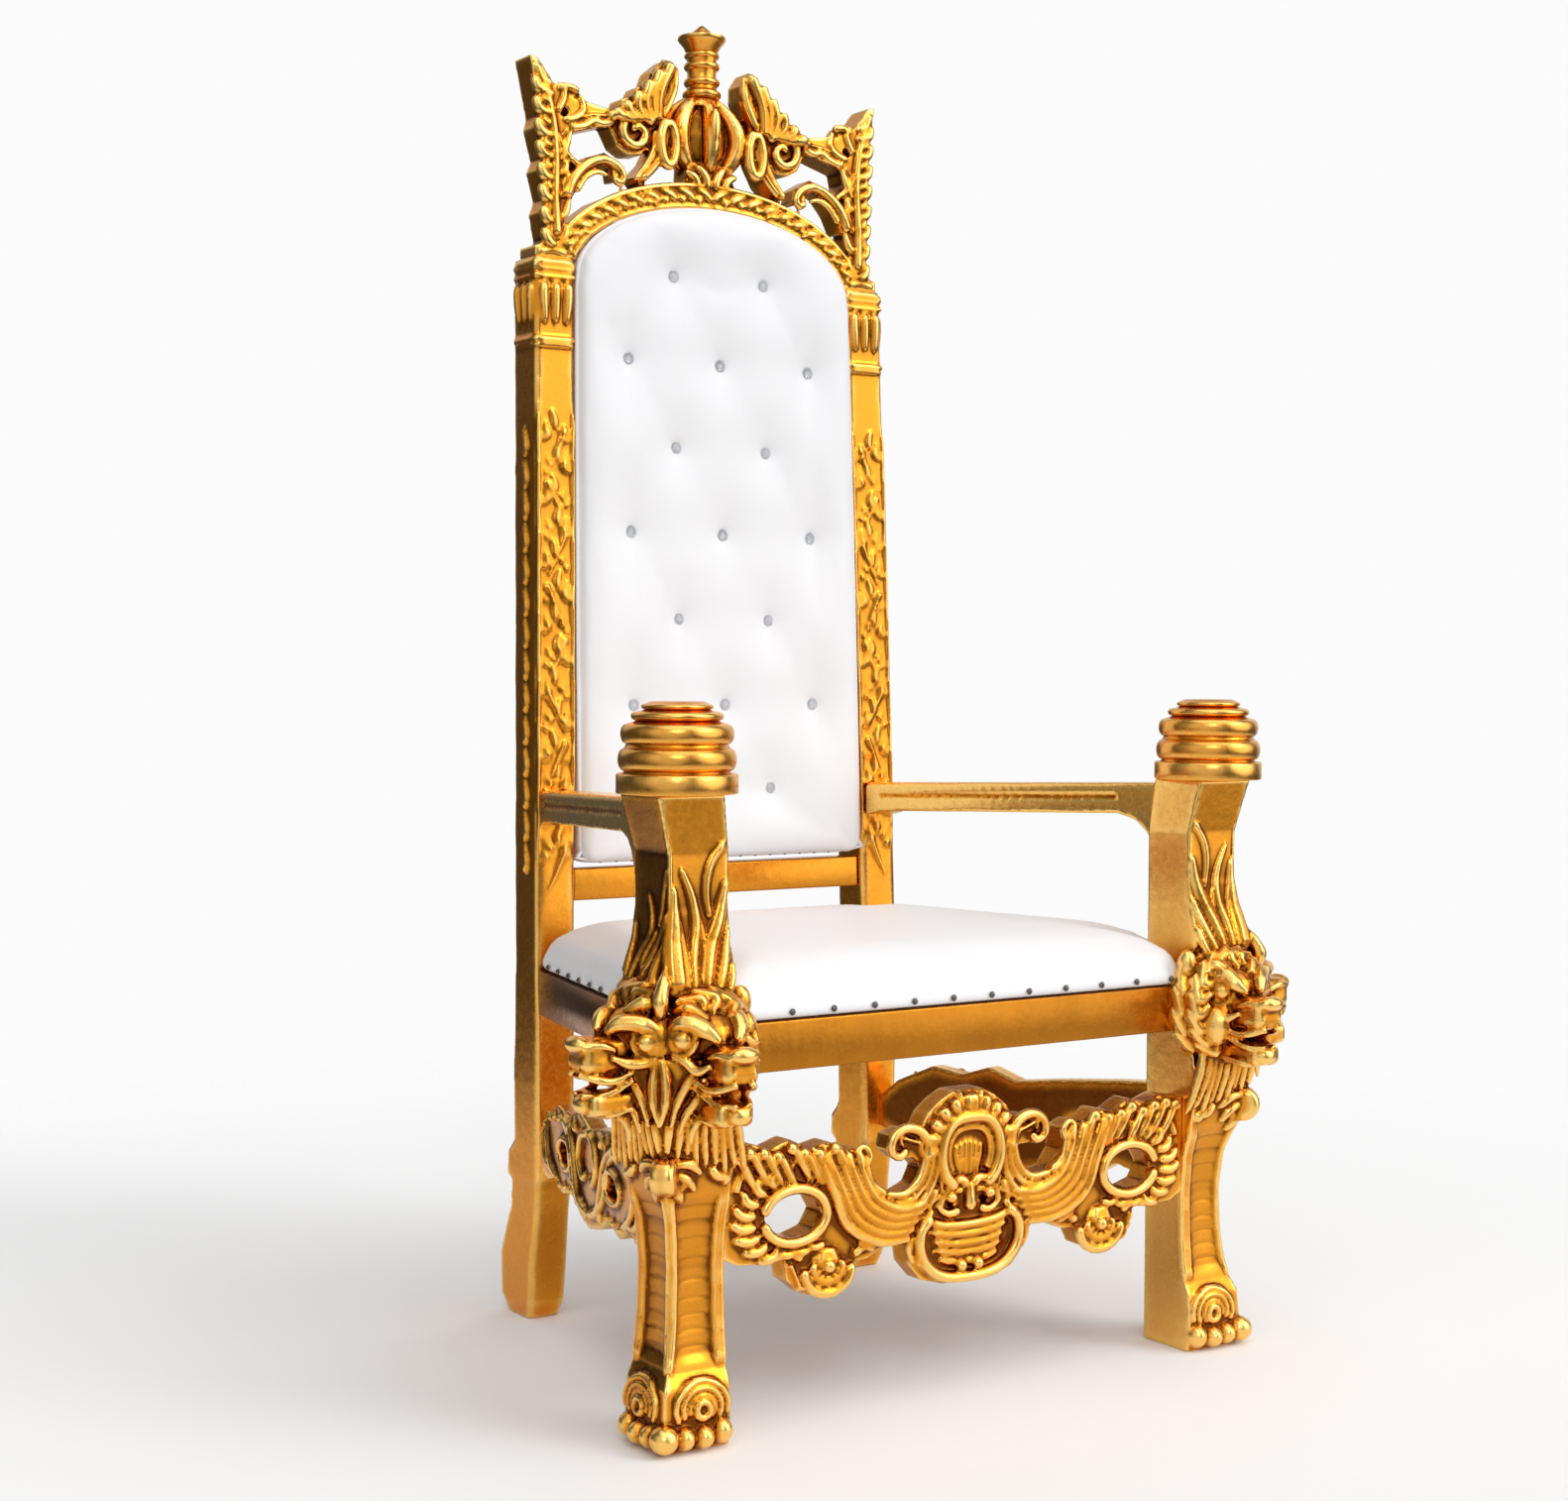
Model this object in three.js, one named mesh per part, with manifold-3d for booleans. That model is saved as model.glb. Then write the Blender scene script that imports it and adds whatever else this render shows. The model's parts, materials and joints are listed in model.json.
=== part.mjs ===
// A tall carved and gilded armchair of state: two sawn front posts that each carry a pair of
// lion heads under a turned cap, straight back posts, a pierced crest with an openwork crown,
// a tufted back panel, a crowned seat pad and pierced aprons between the legs.
// Millimetres, +Z up, the sitter faces -Y, the origin is on the floor at the middle of the box.
import * as THREE from "three";
import { mergeVertices } from "three/addons/utils/BufferGeometryUtils.js";
import Module from "manifold-3d";

const wasm = await Module();
wasm.setup();

// ---- Driving dimensions ----
const GAP = 0.3; // clearance between touching pieces
const DEGREE = Math.PI / 180;

const TOTAL_HEIGHT = 1829;
const LEAN_START = 480; // the back posts are upright below this height
const LEAN = Math.tan(2.09 * DEGREE);

const CORNER_X = 359.6; // the front posts' inner corner, the same at every height
const CORNER_Y = -205.7;
const BACK_Y = CORNER_Y + 526; // centre line of the back posts at the seat
const POST_HALF = 31; // half the side of a back post
const POST_X_SEAT = 275;
const POST_X_TOP = 259.5;
const POST_TOP = 1467;
const POST_FRONT = BACK_Y - POST_HALF;

const CAP_BOTTOM = 759;
const CAP_TOP = 865;
const CAP_RADIUS = 71;
const CAP_OFFSET = 55; // cap centre, outward and forward of the inner corner

const RAIL_BOTTOM = 428;
const RAIL_TOP = 488;
const RAIL_THICK = 32;
const SEAT_FRONT = CORNER_Y - 81; // front line of the pad
const PAD_CROWN = 563;

const ARM_TOP_BACK = 734;
const ARM_TOP_FRONT = 752;
const ARM_HEIGHT = 42;

const ARCH_SPRING = 1445;
const ARCH_HALF = 228;
const ARCH_RISE = 114;
const PANEL_BOTTOM = 631;
const PANEL_FRONT = POST_FRONT + 2;
const PANEL_BACK = POST_FRONT + 52;
const PANEL_CROWN = 20; // how far the padding stands in front of PANEL_FRONT

const CREST_FRONT = BACK_Y - 24;
const CREST_BACK = BACK_Y + 22;
const CROWN_NECK = 1618;
const CROWN_TOP = 1722;
const CROWN_HALF = 75;

const APRON_FRONT = CORNER_Y - 72;
const APRON_BACK = APRON_FRONT + 32;

// ---- Materials ----
const GILT = { color: 0xc98a1b, roughness: 0.32, metalness: 0.85 };
const LEATHER = { color: 0xf1eff0, roughness: 0.55, metalness: 0.0 };
const CRYSTAL = { color: 0xe6ecf2, roughness: 0.08, metalness: 0.1 };

// ---- Small tools ----

// Turns a closed geometry into a solid that can be joined and cut.
function solid(geometry) {
  const bare = geometry.index ? geometry.toNonIndexed() : geometry.clone();
  bare.deleteAttribute("normal");
  bare.deleteAttribute("uv");
  const merged = mergeVertices(bare, 1e-4);
  return new wasm.Manifold(
    new wasm.Mesh({
      numProp: 3,
      vertProperties: new Float32Array(merged.attributes.position.array),
      triVerts: new Uint32Array(merged.index.array),
    }),
  );
}

// Joins a list of solids or geometries into one solid.
function join(pieces) {
  const solids = pieces.map((piece) => (piece.isBufferGeometry ? solid(piece) : piece));
  let joined = solids[0];
  for (const next of solids.slice(1)) {
    joined = joined.add(next);
  }
  // only the outer skin is kept, so no hollow stays sealed between overlapping forms
  return joined.decompose().reduce((best, shell) => (shell.volume() > best.volume() ? shell : best));
}

// Gives a solid back as a geometry, without the slivers that joining leaves.
const SLIVER = 0.8;
function toGeometry(made) {
  const mesh = made.simplify(SLIVER).getMesh();
  const geometry = new THREE.BufferGeometry();
  const points = new Float32Array(mesh.numVert * 3);
  for (let i = 0; i < mesh.numVert; i++) {
    points.set(mesh.vertProperties.subarray(i * mesh.numProp, i * mesh.numProp + 3), i * 3);
  }
  geometry.setAttribute("position", new THREE.BufferAttribute(points, 3));
  geometry.setIndex(new THREE.BufferAttribute(new Uint32Array(mesh.triVerts), 1));
  return geometry;
}

// A closed body through rings of equal length, with flat ends. Its faces are turned outward.
function loft(rings) {
  const sides = rings[0].length;
  const points = rings.flat();
  const faces = [];
  for (let i = 0; i < rings.length - 1; i++) {
    for (let j = 0; j < sides; j++) {
      const a = i * sides + j;
      const b = i * sides + ((j + 1) % sides);
      faces.push([a, b, b + sides], [a, b + sides, a + sides]);
    }
  }
  for (const [ring, start] of [[rings[0], 0], [rings.at(-1), points.length - sides]]) {
    // a small section is closed from its first corner, a larger one from its middle
    const small = sides <= 6;
    const middle = ring.reduce((sum, p) => sum.add(p), new THREE.Vector3()).divideScalar(sides);
    const centre = small ? start : points.push(middle) - 1;
    for (let j = small ? 1 : 0; j < (small ? sides - 1 : sides); j++) {
      const a = start + j;
      const b = start + ((j + 1) % sides);
      faces.push(start === 0 ? [b, a, centre] : [a, b, centre]);
    }
  }
  const volume = faces.reduce(
    (sum, [a, b, c]) => sum + points[a].dot(points[b].clone().cross(points[c])),
    0,
  );
  const order = volume < 0 ? ([a, b, c]) => [a, c, b] : (face) => face;
  const geometry = new THREE.BufferGeometry().setFromPoints(points);
  geometry.setIndex(faces.flatMap(order));
  return geometry;
}

// Leans a piece of the back: every point moves back by its height above LEAN_START.
function lean(geometry) {
  const place = geometry.attributes.position;
  for (let i = 0; i < place.count; i++) {
    const rise = Math.max(0, place.getZ(i) - LEAN_START);
    place.setY(i, place.getY(i) + rise * LEAN);
  }
  return geometry;
}

// Extrudes a shape drawn in X (across) and Z (up) from yFront back to yBack.
function slab(shape, yFront, yBack) {
  const geometry = new THREE.ExtrudeGeometry(shape, {
    depth: yBack - yFront,
    bevelEnabled: false,
  });
  geometry.rotateX(Math.PI / 2);
  geometry.translate(0, yBack, 0);
  return geometry;
}

function shapeOf(points) {
  return new THREE.Shape(points.map(([x, z]) => new THREE.Vector2(x, z)));
}

// Turns every face of a geometry over.
function turnedOver(geometry) {
  const count = geometry.attributes.position.count;
  const index = geometry.index ? Array.from(geometry.index.array) : [...Array(count).keys()];
  for (let i = 0; i < index.length; i += 3) {
    [index[i + 1], index[i + 2]] = [index[i + 2], index[i + 1]];
  }
  geometry.setIndex(index);
  return geometry;
}

function mirrored(geometry) {
  return turnedOver(geometry.clone().scale(-1, 1, 1));
}

// Both halves of something drawn on the +X side.
function bothSides(pieces) {
  return pieces.flatMap((piece) => [piece, mirrored(piece)]);
}

// A face to carve on: a point (a, b, c) on it is a across, b up and c proud of it.
function carvedFace(origin, across, up, out) {
  return (a, b, c) =>
    origin.clone().addScaledVector(across, a).addScaledVector(up, b).addScaledVector(out, c);
}

// A raised ridge along a path on a face. It tapers from width to tip and stands height proud.
// Its foot is sunk a little into the face.
function ridge(face, path, { width, tip, height, steps }) {
  const sink = 3;
  const curve = new THREE.CatmullRomCurve3(path.map(([a, b]) => new THREE.Vector3(a, b, 0)));
  const rings = [];
  for (let i = 0; i <= steps; i++) {
    const t = i / steps;
    const at = curve.getPoint(t);
    const along = curve.getTangent(t);
    const swell = tip + (1 - tip) * Math.sin(Math.PI * (0.5 + 0.5 * t));
    const w = (width / 2) * Math.max(swell, tip);
    const h = height * (0.35 + 0.65 * Math.max(swell, tip));
    const section = [[-w, -sink], [0, h], [w, -sink]];
    rings.push(section.map(([s, c]) => face(at.x - along.y * s, at.y + along.x * s, c)));
  }
  return loft(rings);
}

// A spiral path that winds inward from `radius`, starting at `from` degrees.
function spiral([a, b], radius, from, turns) {
  const steps = 9;
  return Array.from({ length: steps + 1 }, (_, i) => {
    const t = i / steps;
    const angle = (from + 360 * turns * t) * DEGREE;
    const r = radius * (1 - 0.72 * t);
    return [a + r * Math.cos(angle), b + r * Math.sin(angle)];
  });
}

function ball([x, y, z], rx, ry, rz, around, down) {
  const geometry = new THREE.SphereGeometry(1, around, down);
  geometry.rotateX(Math.PI / 2);
  geometry.scale(rx, ry, rz);
  geometry.translate(x, y, z);
  return geometry;
}

// A flat pierced strap drawn along a path, as a shape for slab().
function strap(path, width, tip, steps) {
  const curve = new THREE.CatmullRomCurve3(path.map(([a, b]) => new THREE.Vector3(a, b, 0)));
  const left = [];
  const right = [];
  for (let i = 0; i <= steps; i++) {
    const t = i / steps;
    const at = curve.getPoint(t);
    const along = curve.getTangent(t);
    const w = (width / 2) * (1 - (1 - tip) * t);
    left.push([at.x - along.y * w, at.y + along.x * w]);
    right.unshift([at.x + along.y * w, at.y - along.x * w]);
  }
  return shapeOf([...left, ...right]);
}

// ---- The throne, and a way to add its pieces ----
const throne = new THREE.Group();

function addPiece(name, geometry, finish) {
  const mesh = new THREE.Mesh(geometry, new THREE.MeshStandardMaterial(finish));
  mesh.name = name;
  throne.add(mesh);
}

// ---- Back posts: leg and stile in one length, with a sabre foot and carved stile ----
function postX(z) {
  const rise = Math.max(0, (z - LEAN_START) / (POST_TOP - LEAN_START));
  return POST_X_SEAT + (POST_X_TOP - POST_X_SEAT) * rise;
}

function backPost() {
  // height, half width, front of the leg, back of the leg (from the post's centre line)
  const stations = [
    [0, 24, 2, 62],
    [22, 28, -8, 76],
    [80, 29, -14, 78],
    [150, 27, -24, 52],
    [188, 28, -28, 46],
    [196, 29, -30, 58],
    [226, 29, -31, 56],
    [246, 30, -31, 36],
    [330, POST_HALF, -POST_HALF, 36],
    [420, POST_HALF, -POST_HALF, 32],
    [LEAN_START, POST_HALF, -POST_HALF, POST_HALF],
    [POST_TOP, POST_HALF, -POST_HALF, POST_HALF],
  ];
  const chamfer = 5;
  const rings = stations.map(([z, half, front, back]) => {
    const x = postX(z);
    return [
      [x - half, back], [x - half, front + chamfer], [x - half + chamfer, front],
      [x + half - chamfer, front], [x + half, front + chamfer], [x + half, back],
    ].map(([px, py]) => new THREE.Vector3(px, BACK_Y + py, z));
  });
  const pieces = [loft(rings)];
  const reeds = [1350, 1438, 1452];
  for (const z of reeds) {
    const reed = new THREE.BoxGeometry(2 * POST_HALF + 3, 2 * POST_HALF + 3, 6);
    reed.translate(postX(z) + 0.75, BACK_Y, z + 3);
    pieces.push(reed);
  }
  // a drop of three leaves below the reeds, then a running leaf down to the seat
  const front = carvedFace(
    new THREE.Vector3(0, POST_FRONT, 0), new THREE.Vector3(1, 0, 0),
    new THREE.Vector3(0, 0, 1), new THREE.Vector3(0, -1, 0),
  );
  const leaf = (a, b, da, db, width) =>
    ridge(front, [[a, b], [a + da, b + db]], { width, height: 5, tip: 0.25, steps: 1 });
  for (const side of [-1, 0, 1]) {
    pieces.push(leaf(postX(1400) + 14 * side, 1428, 3 * side, -58, 13));
  }
  const leafPitch = 72;
  let side = 1;
  for (let z = 1232; z > 630; z -= leafPitch) {
    pieces.push(leaf(postX(z) - 15 * side, z, 28 * side, -60, 24));
    side = -side;
  }
  return lean(toGeometry(join(pieces)));
}

const rightBackPost = backPost();
addPiece("back_post_right", rightBackPost, GILT);
addPiece("back_post_left", mirrored(rightBackPost), GILT);

// ---- Back panel: an arched, crowned and tufted pad with its rows of buttons ----
const BUTTON_ROWS = 7;
const BUTTON_TOP = 1455;
const BUTTON_PITCH_Z = 121;
const BUTTON_PITCH_X = 151;
const BUTTON_RADIUS = 9;
const BUTTON_HEIGHT = 6;
const TUFT_RADIUS = 30;
const TUFT_DEPTH = 11;

// A point of the arch, `proud` outside the panel's own line. Panel and crest share the same turns.
const ARCH_TURN = 15 * DEGREE;
function archPoint(angle, proud) {
  const across = Math.max(0, (ARCH_HALF + proud) * Math.cos(angle) - 1e-6);
  return [across, ARCH_SPRING + (ARCH_RISE + proud) * Math.sin(angle)];
}

function archOutline(inset) {
  const points = [];
  const foot = POST_X_SEAT - POST_HALF - 6 - inset;
  points.push([foot, PANEL_BOTTOM + 14 + inset], [foot - 12, PANEL_BOTTOM + inset]);
  for (let angle = 0; angle < 91 * DEGREE; angle += ARCH_TURN) {
    points.unshift(archPoint(angle, -inset));
  }
  const left = points.slice(1).map(([x, z]) => [-x, z]).reverse();
  return [...points, ...left];
}

function buttonPlaces() {
  const places = [];
  for (let row = 0; row < BUTTON_ROWS; row++) {
    const count = row % 2 === 0 ? 2 : 3;
    for (let i = 0; i < count; i++) {
      places.push([(i - (count - 1) / 2) * BUTTON_PITCH_X, BUTTON_TOP - row * BUTTON_PITCH_Z]);
    }
  }
  return places;
}

function backPanel() {
  const layers = [
    [0, PANEL_BACK],
    [0, PANEL_FRONT - 4],
    [10, PANEL_FRONT - 14],
    [42, PANEL_FRONT - PANEL_CROWN],
  ];
  const rings = layers.map(([inset, y]) =>
    archOutline(inset).map(([x, z]) => new THREE.Vector3(x, y, z)));
  const bed = PANEL_FRONT - PANEL_CROWN + TUFT_DEPTH;
  const mouth = bed - TUFT_DEPTH - 1;
  let pad = solid(loft(rings));
  for (const [x, z] of buttonPlaces()) {
    const dimple = new THREE.CylinderGeometry(BUTTON_RADIUS + 4, TUFT_RADIUS, bed - mouth, 4);
    dimple.translate(x, (bed + mouth) / 2, z);
    pad = pad.subtract(solid(dimple));
  }
  return lean(toGeometry(pad));
}

addPiece("back_panel", backPanel(), LEATHER);

buttonPlaces().forEach(([x, z], i) => {
  const button = new THREE.CylinderGeometry(BUTTON_RADIUS, BUTTON_RADIUS * 0.5, BUTTON_HEIGHT, 5);
  const bed = PANEL_FRONT - PANEL_CROWN + TUFT_DEPTH;
  button.translate(x, bed - 2 * GAP - BUTTON_HEIGHT / 2, z);
  addPiece(`panel_button_${String(i + 1).padStart(2, "0")}`, lean(button), CRYSTAL);
});

// ---- Rail below the panel ----
{
  const rail = new THREE.BoxGeometry(1, 30, 44);
  rail.translate(0, PANEL_FRONT + 22, 580 + 22);
  const half = postX(625) - POST_HALF - GAP - SLIVER;
  rail.scale(2 * half, 1, 1);
  addPiece("back_lower_rail", lean(rail), GILT);
}

// ---- Crest: arch band, corner wings, scrolled shells, straps and the openwork crown ----
function crest() {
  const foot = POST_TOP + GAP;
  // right half of the arch band, from its foot on the post up to the crown and back inside
  const clear = 1;
  const bandWidth = 38;
  const spring = archPoint(0, clear);
  const first = archPoint(ARCH_TURN, clear);
  const atFoot = (foot - spring[1]) / (first[1] - spring[1]);
  const turns = [1, 2, 3, 4, 5, 6].map((i) => i * ARCH_TURN);
  const halfBand = [
    [spring[0] + (first[0] - spring[0]) * atFoot, foot], [ARCH_HALF + bandWidth, foot],
    ...turns.map((angle) => archPoint(angle, bandWidth)),
    ...turns.map((angle) => archPoint(angle, clear)).reverse(),
  ];
  const wing = shapeOf([
    [236, foot], [287, foot], [287, 1482], [266, 1490], [273, 1530], [266, 1548],
    [276, 1588], [269, 1604], [280, 1646], [275, 1662], [291, 1743], [280, 1742],
    [252, 1707], [238, 1712], [226, 1694], [160, 1683], [158, 1664], [206, 1650],
    [232, 1642], [240, 1600], [242, 1548],
  ]);
  wing.holes.push(new THREE.Path([[230, 1672], [240, 1663], [251, 1672], [242, 1684]]
    .map(([x, z]) => new THREE.Vector2(x, z))));
  const shell = shapeOf([
    [168, 1664], [170, 1683], [148, 1689], [144, 1702], [126, 1707], [118, 1722], [102, 1728],
    [94, 1748], [69, 1768], [55, 1748], [54, 1724], [70, 1692], [70, 1640], [100, 1640],
    [114, 1626], [134, 1624], [152, 1634],
  ]);
  const straps = [
    strap([[80, 1668], [84, 1638], [98, 1612], [122, 1588]], 18, 0.9, 3),
    strap([[236, 1552], [222, 1580], [200, 1606], [174, 1616], [152, 1604], [150, 1586]], 17, 0.7, 5),
    strap([[252, 1640], [238, 1614], [216, 1598], [205, 1600]], 16, 0.5, 3),
  ];
  const crownSeat = shapeOf([[50, 1586], [40, 1600], [38, CROWN_NECK + 8], [-38, CROWN_NECK + 8],
    [-40, 1600], [-50, 1586]]);
  const pieces = [
    slab(crownSeat, CREST_FRONT + 4, CREST_BACK - 4),
    ...bothSides([
      slab(shapeOf(halfBand), CREST_FRONT, CREST_BACK),
      slab(wing, CREST_FRONT, CREST_BACK),
      slab(shell, CREST_FRONT + 5, CREST_BACK - 6),
      ...straps.map((shape) => slab(shape, CREST_FRONT + 3, CREST_BACK - 6)),
    ]),
    ...crown(),
    ...crestCarving(),
  ];
  return lean(toGeometry(join(pieces)));
}

// The crown is a narrow bulb inside eight bowed ribs, closed by a flat button on top.
function crown() {
  const depth = 0.42; // the crown is flatter than it is wide
  const height = CROWN_TOP - 6 - CROWN_NECK;
  const swell = (t) => 24 + (CROWN_HALF - 24) * Math.sin(Math.PI * (0.1 + 0.88 * t)) ** 0.8;
  const bulb = ball([0, BACK_Y, CROWN_NECK + height * 0.5], 44, 20, height * 0.56, 10, 6);
  const button = new THREE.CylinderGeometry(22, 26, 12, 12);
  button.rotateX(Math.PI / 2);
  button.scale(1, 0.9, 1);
  button.translate(0, BACK_Y, CROWN_TOP - 6);
  const ribs = [];
  for (const angle of [-90, -48, 0, 48, 90, 180]) {
    const out = new THREE.Vector2(Math.sin(angle * DEGREE), -depth * Math.cos(angle * DEGREE));
    const steps = 3;
    const rings = [];
    for (let i = 0; i <= steps; i++) {
      const t = i / steps;
      const reach = swell(t);
      const z = CROWN_NECK - 2 + (height + 8) * t;
      const side = new THREE.Vector2(-out.y, out.x).normalize().multiplyScalar(6);
      const inner = reach - 14;
      rings.push([
        new THREE.Vector3(out.x * inner + side.x, BACK_Y + out.y * inner + side.y, z),
        new THREE.Vector3(out.x * reach + side.x * 0.6, BACK_Y + out.y * reach + side.y * 0.6, z),
        new THREE.Vector3(out.x * reach - side.x * 0.6, BACK_Y + out.y * reach - side.y * 0.6, z),
        new THREE.Vector3(out.x * inner - side.x, BACK_Y + out.y * inner - side.y, z),
      ]);
    }
    ribs.push(loft(rings));
  }
  return [bulb, button, ...ribs];
}

// The carving on the front of the crest, drawn on its +X half.
function crestCarving() {
  const front = carvedFace(
    new THREE.Vector3(0, CREST_FRONT + 4, 0), new THREE.Vector3(1, 0, 0),
    new THREE.Vector3(0, 0, 1), new THREE.Vector3(0, -1, 0),
  );
  const half = [];
  // ribs of the shell, fanning from its scroll to the scalloped edge
  const scroll = [126, 1656];
  for (const [tipX, tipZ] of [[70, 1764], [92, 1737], [118, 1710], [147, 1686]]) {
    half.push(ridge(front, [[tipX, tipZ], [scroll[0] + 4, scroll[1] + 20]],
      { width: 15, height: 8, tip: 0.5, steps: 1 }));
  }
  half.push(ridge(front, spiral(scroll, 30, 150, -1.15),
    { width: 12, height: 12, tip: 0.6, steps: 5 }));
  // the wing's upright leaf, with short lobes turned to its outer edge
  half.push(ridge(front, [[252, 1500], [256, 1560], [254, 1630], [264, 1690], [284, 1738]],
    { width: 18, height: 9, tip: 0.5, steps: 3 }));
  for (const [z, reach] of [[1524, 271], [1568, 274], [1610, 277], [1664, 281]]) {
    half.push(ridge(front, [[250, z - 16], [reach - 4, z + 2]],
      { width: 17, height: 7, tip: 0.5, steps: 1 }));
  }
  half.push(ridge(front, [[162, 1674], [196, 1672], [226, 1660], [248, 1632]],
    { width: 14, height: 8, tip: 0.6, steps: 3 }));
  // the curled leaf on the shoulder of the arch
  half.push(ridge(front, [[234, 1556], [220, 1582], [198, 1604], [172, 1612], [154, 1600]],
    { width: 16, height: 9, tip: 0.6, steps: 3 }));
  half.push(ball([158, CREST_FRONT + 8, 1594], 9, 12, 9, 6, 3));
  half.push(ridge(front, [[82, 1660], [86, 1636], [100, 1612], [120, 1590]],
    { width: 14, height: 9, tip: 0.7, steps: 3 }));
  // small leaves laid along the arch band
  const leaves = 4;
  for (let i = 0; i < leaves; i++) {
    const angle = (82 - i * 18) * DEGREE;
    half.push(ridge(front, [archPoint(angle + 0.05, 8), archPoint(angle - 0.05, 36)],
      { width: 17, height: 9, tip: 0.4, steps: 1 }));
  }
  return bothSides(half);
}

addPiece("crest", crest(), GILT);

// ---- Finial: a turned spindle with a flared cup and a cone ----
function turned(profile, segments) {
  const geometry = new THREE.LatheGeometry(profile.map(([r, z]) => new THREE.Vector2(r, z)), segments);
  geometry.rotateX(Math.PI / 2);
  return geometry;
}

{
  const foot = CROWN_TOP + GAP;
  const finial = turned([
    [0, foot], [27, foot], [27, foot + 8], [20, foot + 14], [27, foot + 24], [22, foot + 31],
    [28, foot + 41], [23, foot + 48], [30, foot + 58], [26, foot + 66], [39, foot + 84],
    [37, foot + 88], [20, foot + 88], [16, foot + 96], [0, TOTAL_HEIGHT],
  ], 8);
  const shift = (CROWN_TOP - LEAN_START) * LEAN;
  finial.translate(0, BACK_Y + shift, 0);
  addPiece("crown_finial", finial, GILT);
}

// ---- Seat rails ----
function addRail(name, fromPoint, toPoint) {
  // a plain board standing on its edge, its outer face through the two points
  const [ax, ay] = fromPoint;
  const [bx, by] = toPoint;
  const inward = ax > 0 || bx > 0 ? -1 : 1;
  const plan = [[ax, ay], [bx, by], [bx + inward * RAIL_THICK, by], [ax + inward * RAIL_THICK, ay]];
  const rings = [RAIL_BOTTOM, RAIL_TOP].map((z) => plan.map(([x, y]) => new THREE.Vector3(x, y, z)));
  addPiece(name, loft(rings), GILT);
}

const SIDE_BACK_X = POST_X_SEAT + POST_HALF - 3; // outer face of the side rails at the back
const SIDE_FRONT_X = CORNER_X + 50;
for (const [word, side] of [["left", -1], ["right", 1]]) {
  addRail(`seat_rail_${word}`, [side * SIDE_BACK_X, POST_FRONT - GAP], [side * SIDE_FRONT_X, CORNER_Y + GAP]);
}
for (const [name, half, y] of [
  ["seat_rail_front", CORNER_X - GAP, SEAT_FRONT + 4 + RAIL_THICK / 2],
  ["seat_rail_back", POST_X_SEAT - POST_HALF - GAP - SLIVER, BACK_Y],
]) {
  const rail = new THREE.BoxGeometry(2 * half, RAIL_THICK, RAIL_TOP - RAIL_BOTTOM);
  rail.translate(0, y, (RAIL_TOP + RAIL_BOTTOM) / 2);
  addPiece(name, rail, GILT);
}

// ---- Seat pad: crowned, notched round the front posts ----
{
  const clear = 1.5;
  const half = [
    [POST_X_SEAT - POST_HALF - 6, BACK_Y - 2], [POST_X_SEAT - POST_HALF - 6, POST_FRONT - clear],
    [SIDE_BACK_X, POST_FRONT - clear], [SIDE_FRONT_X, CORNER_Y + clear],
    [CORNER_X - clear, CORNER_Y + clear], [CORNER_X - clear, SEAT_FRONT + 12],
    [CORNER_X - 14, SEAT_FRONT],
  ];
  const outline = [...half, ...half.map(([x, y]) => [-x, y]).reverse()];
  const middle = (BACK_Y + SEAT_FRONT) / 2;
  // height and inset of each layer
  const layers = [[RAIL_TOP + GAP, 0], [518, 0], [536, 9], [550, 34], [559, 80], [PAD_CROWN, 150]];
  const rings = layers.map(([z, inset]) => outline.map(([x, y]) => {
    const sx = 1 - inset / SIDE_FRONT_X;
    const sy = 1 - inset / (BACK_Y - middle);
    return new THREE.Vector3(x * sx, middle + (y - middle) * sy, z);
  }));
  addPiece("seat_pad", loft(rings), LEATHER);
}

// ---- Arms ----
function arm() {
  // plan at the back and at the front, from inner to outer face
  const back = { y: POST_FRONT - GAP, x: [POST_X_SEAT - POST_HALF, POST_X_SEAT + POST_HALF - 5] };
  const front = { y: CORNER_Y + GAP, x: [CORNER_X + 13, CORNER_X + 79] };
  // position along the arm, groove depth, extra depth below
  const stations = [
    [0, 0, 6], [0.05, 0, 0], [0.055, 4, 0], [0.87, 4, 0], [0.875, 0, 0], [0.93, 0, 8],
    [0.97, 0, 24], [1, 0, 52],
  ];
  const rings = stations.map(([t, groove, drop]) => {
    const y = THREE.MathUtils.lerp(back.y, front.y, t);
    const inner = THREE.MathUtils.lerp(back.x[0], front.x[0], t);
    const outer = THREE.MathUtils.lerp(back.x[1], front.x[1], t);
    const topZ = THREE.MathUtils.lerp(ARM_TOP_BACK, ARM_TOP_FRONT, t);
    const lowZ = topZ - ARM_HEIGHT;
    return [
      [inner + 4, topZ], [inner, topZ - 5], [inner, topZ - 14], [inner + groove, topZ - 19],
      [inner, topZ - 24], [inner, lowZ - drop], [outer, lowZ - drop], [outer, topZ - 24],
      [outer - groove, topZ - 19], [outer, topZ - 14], [outer, topZ - 5], [outer - 4, topZ],
    ].map(([x, z]) => new THREE.Vector3(x, y, z));
  });
  return loft(rings);
}

// The back posts lean, so the arm's back end is cut to them.
{
  const right = solid(arm());
  const clearance = new THREE.BoxGeometry(200, 60, 200);
  clearance.translate(POST_X_SEAT, POST_FRONT - GAP + 30, ARM_TOP_BACK - 30);
  const fitted = toGeometry(right.subtract(solid(lean(clearance))));
  addPiece("arm_right", fitted, GILT);
  addPiece("arm_left", mirrored(fitted), GILT);
}

// ---- Front posts: a paw foot, a sawn leg, two lion heads and a leafy support in one piece ----
// The section is a square that grows outward and forward from a fixed inner corner.
const SPLAY_START = 690; // above this height the section also shifts outward
const SPLAY = 11;
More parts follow.
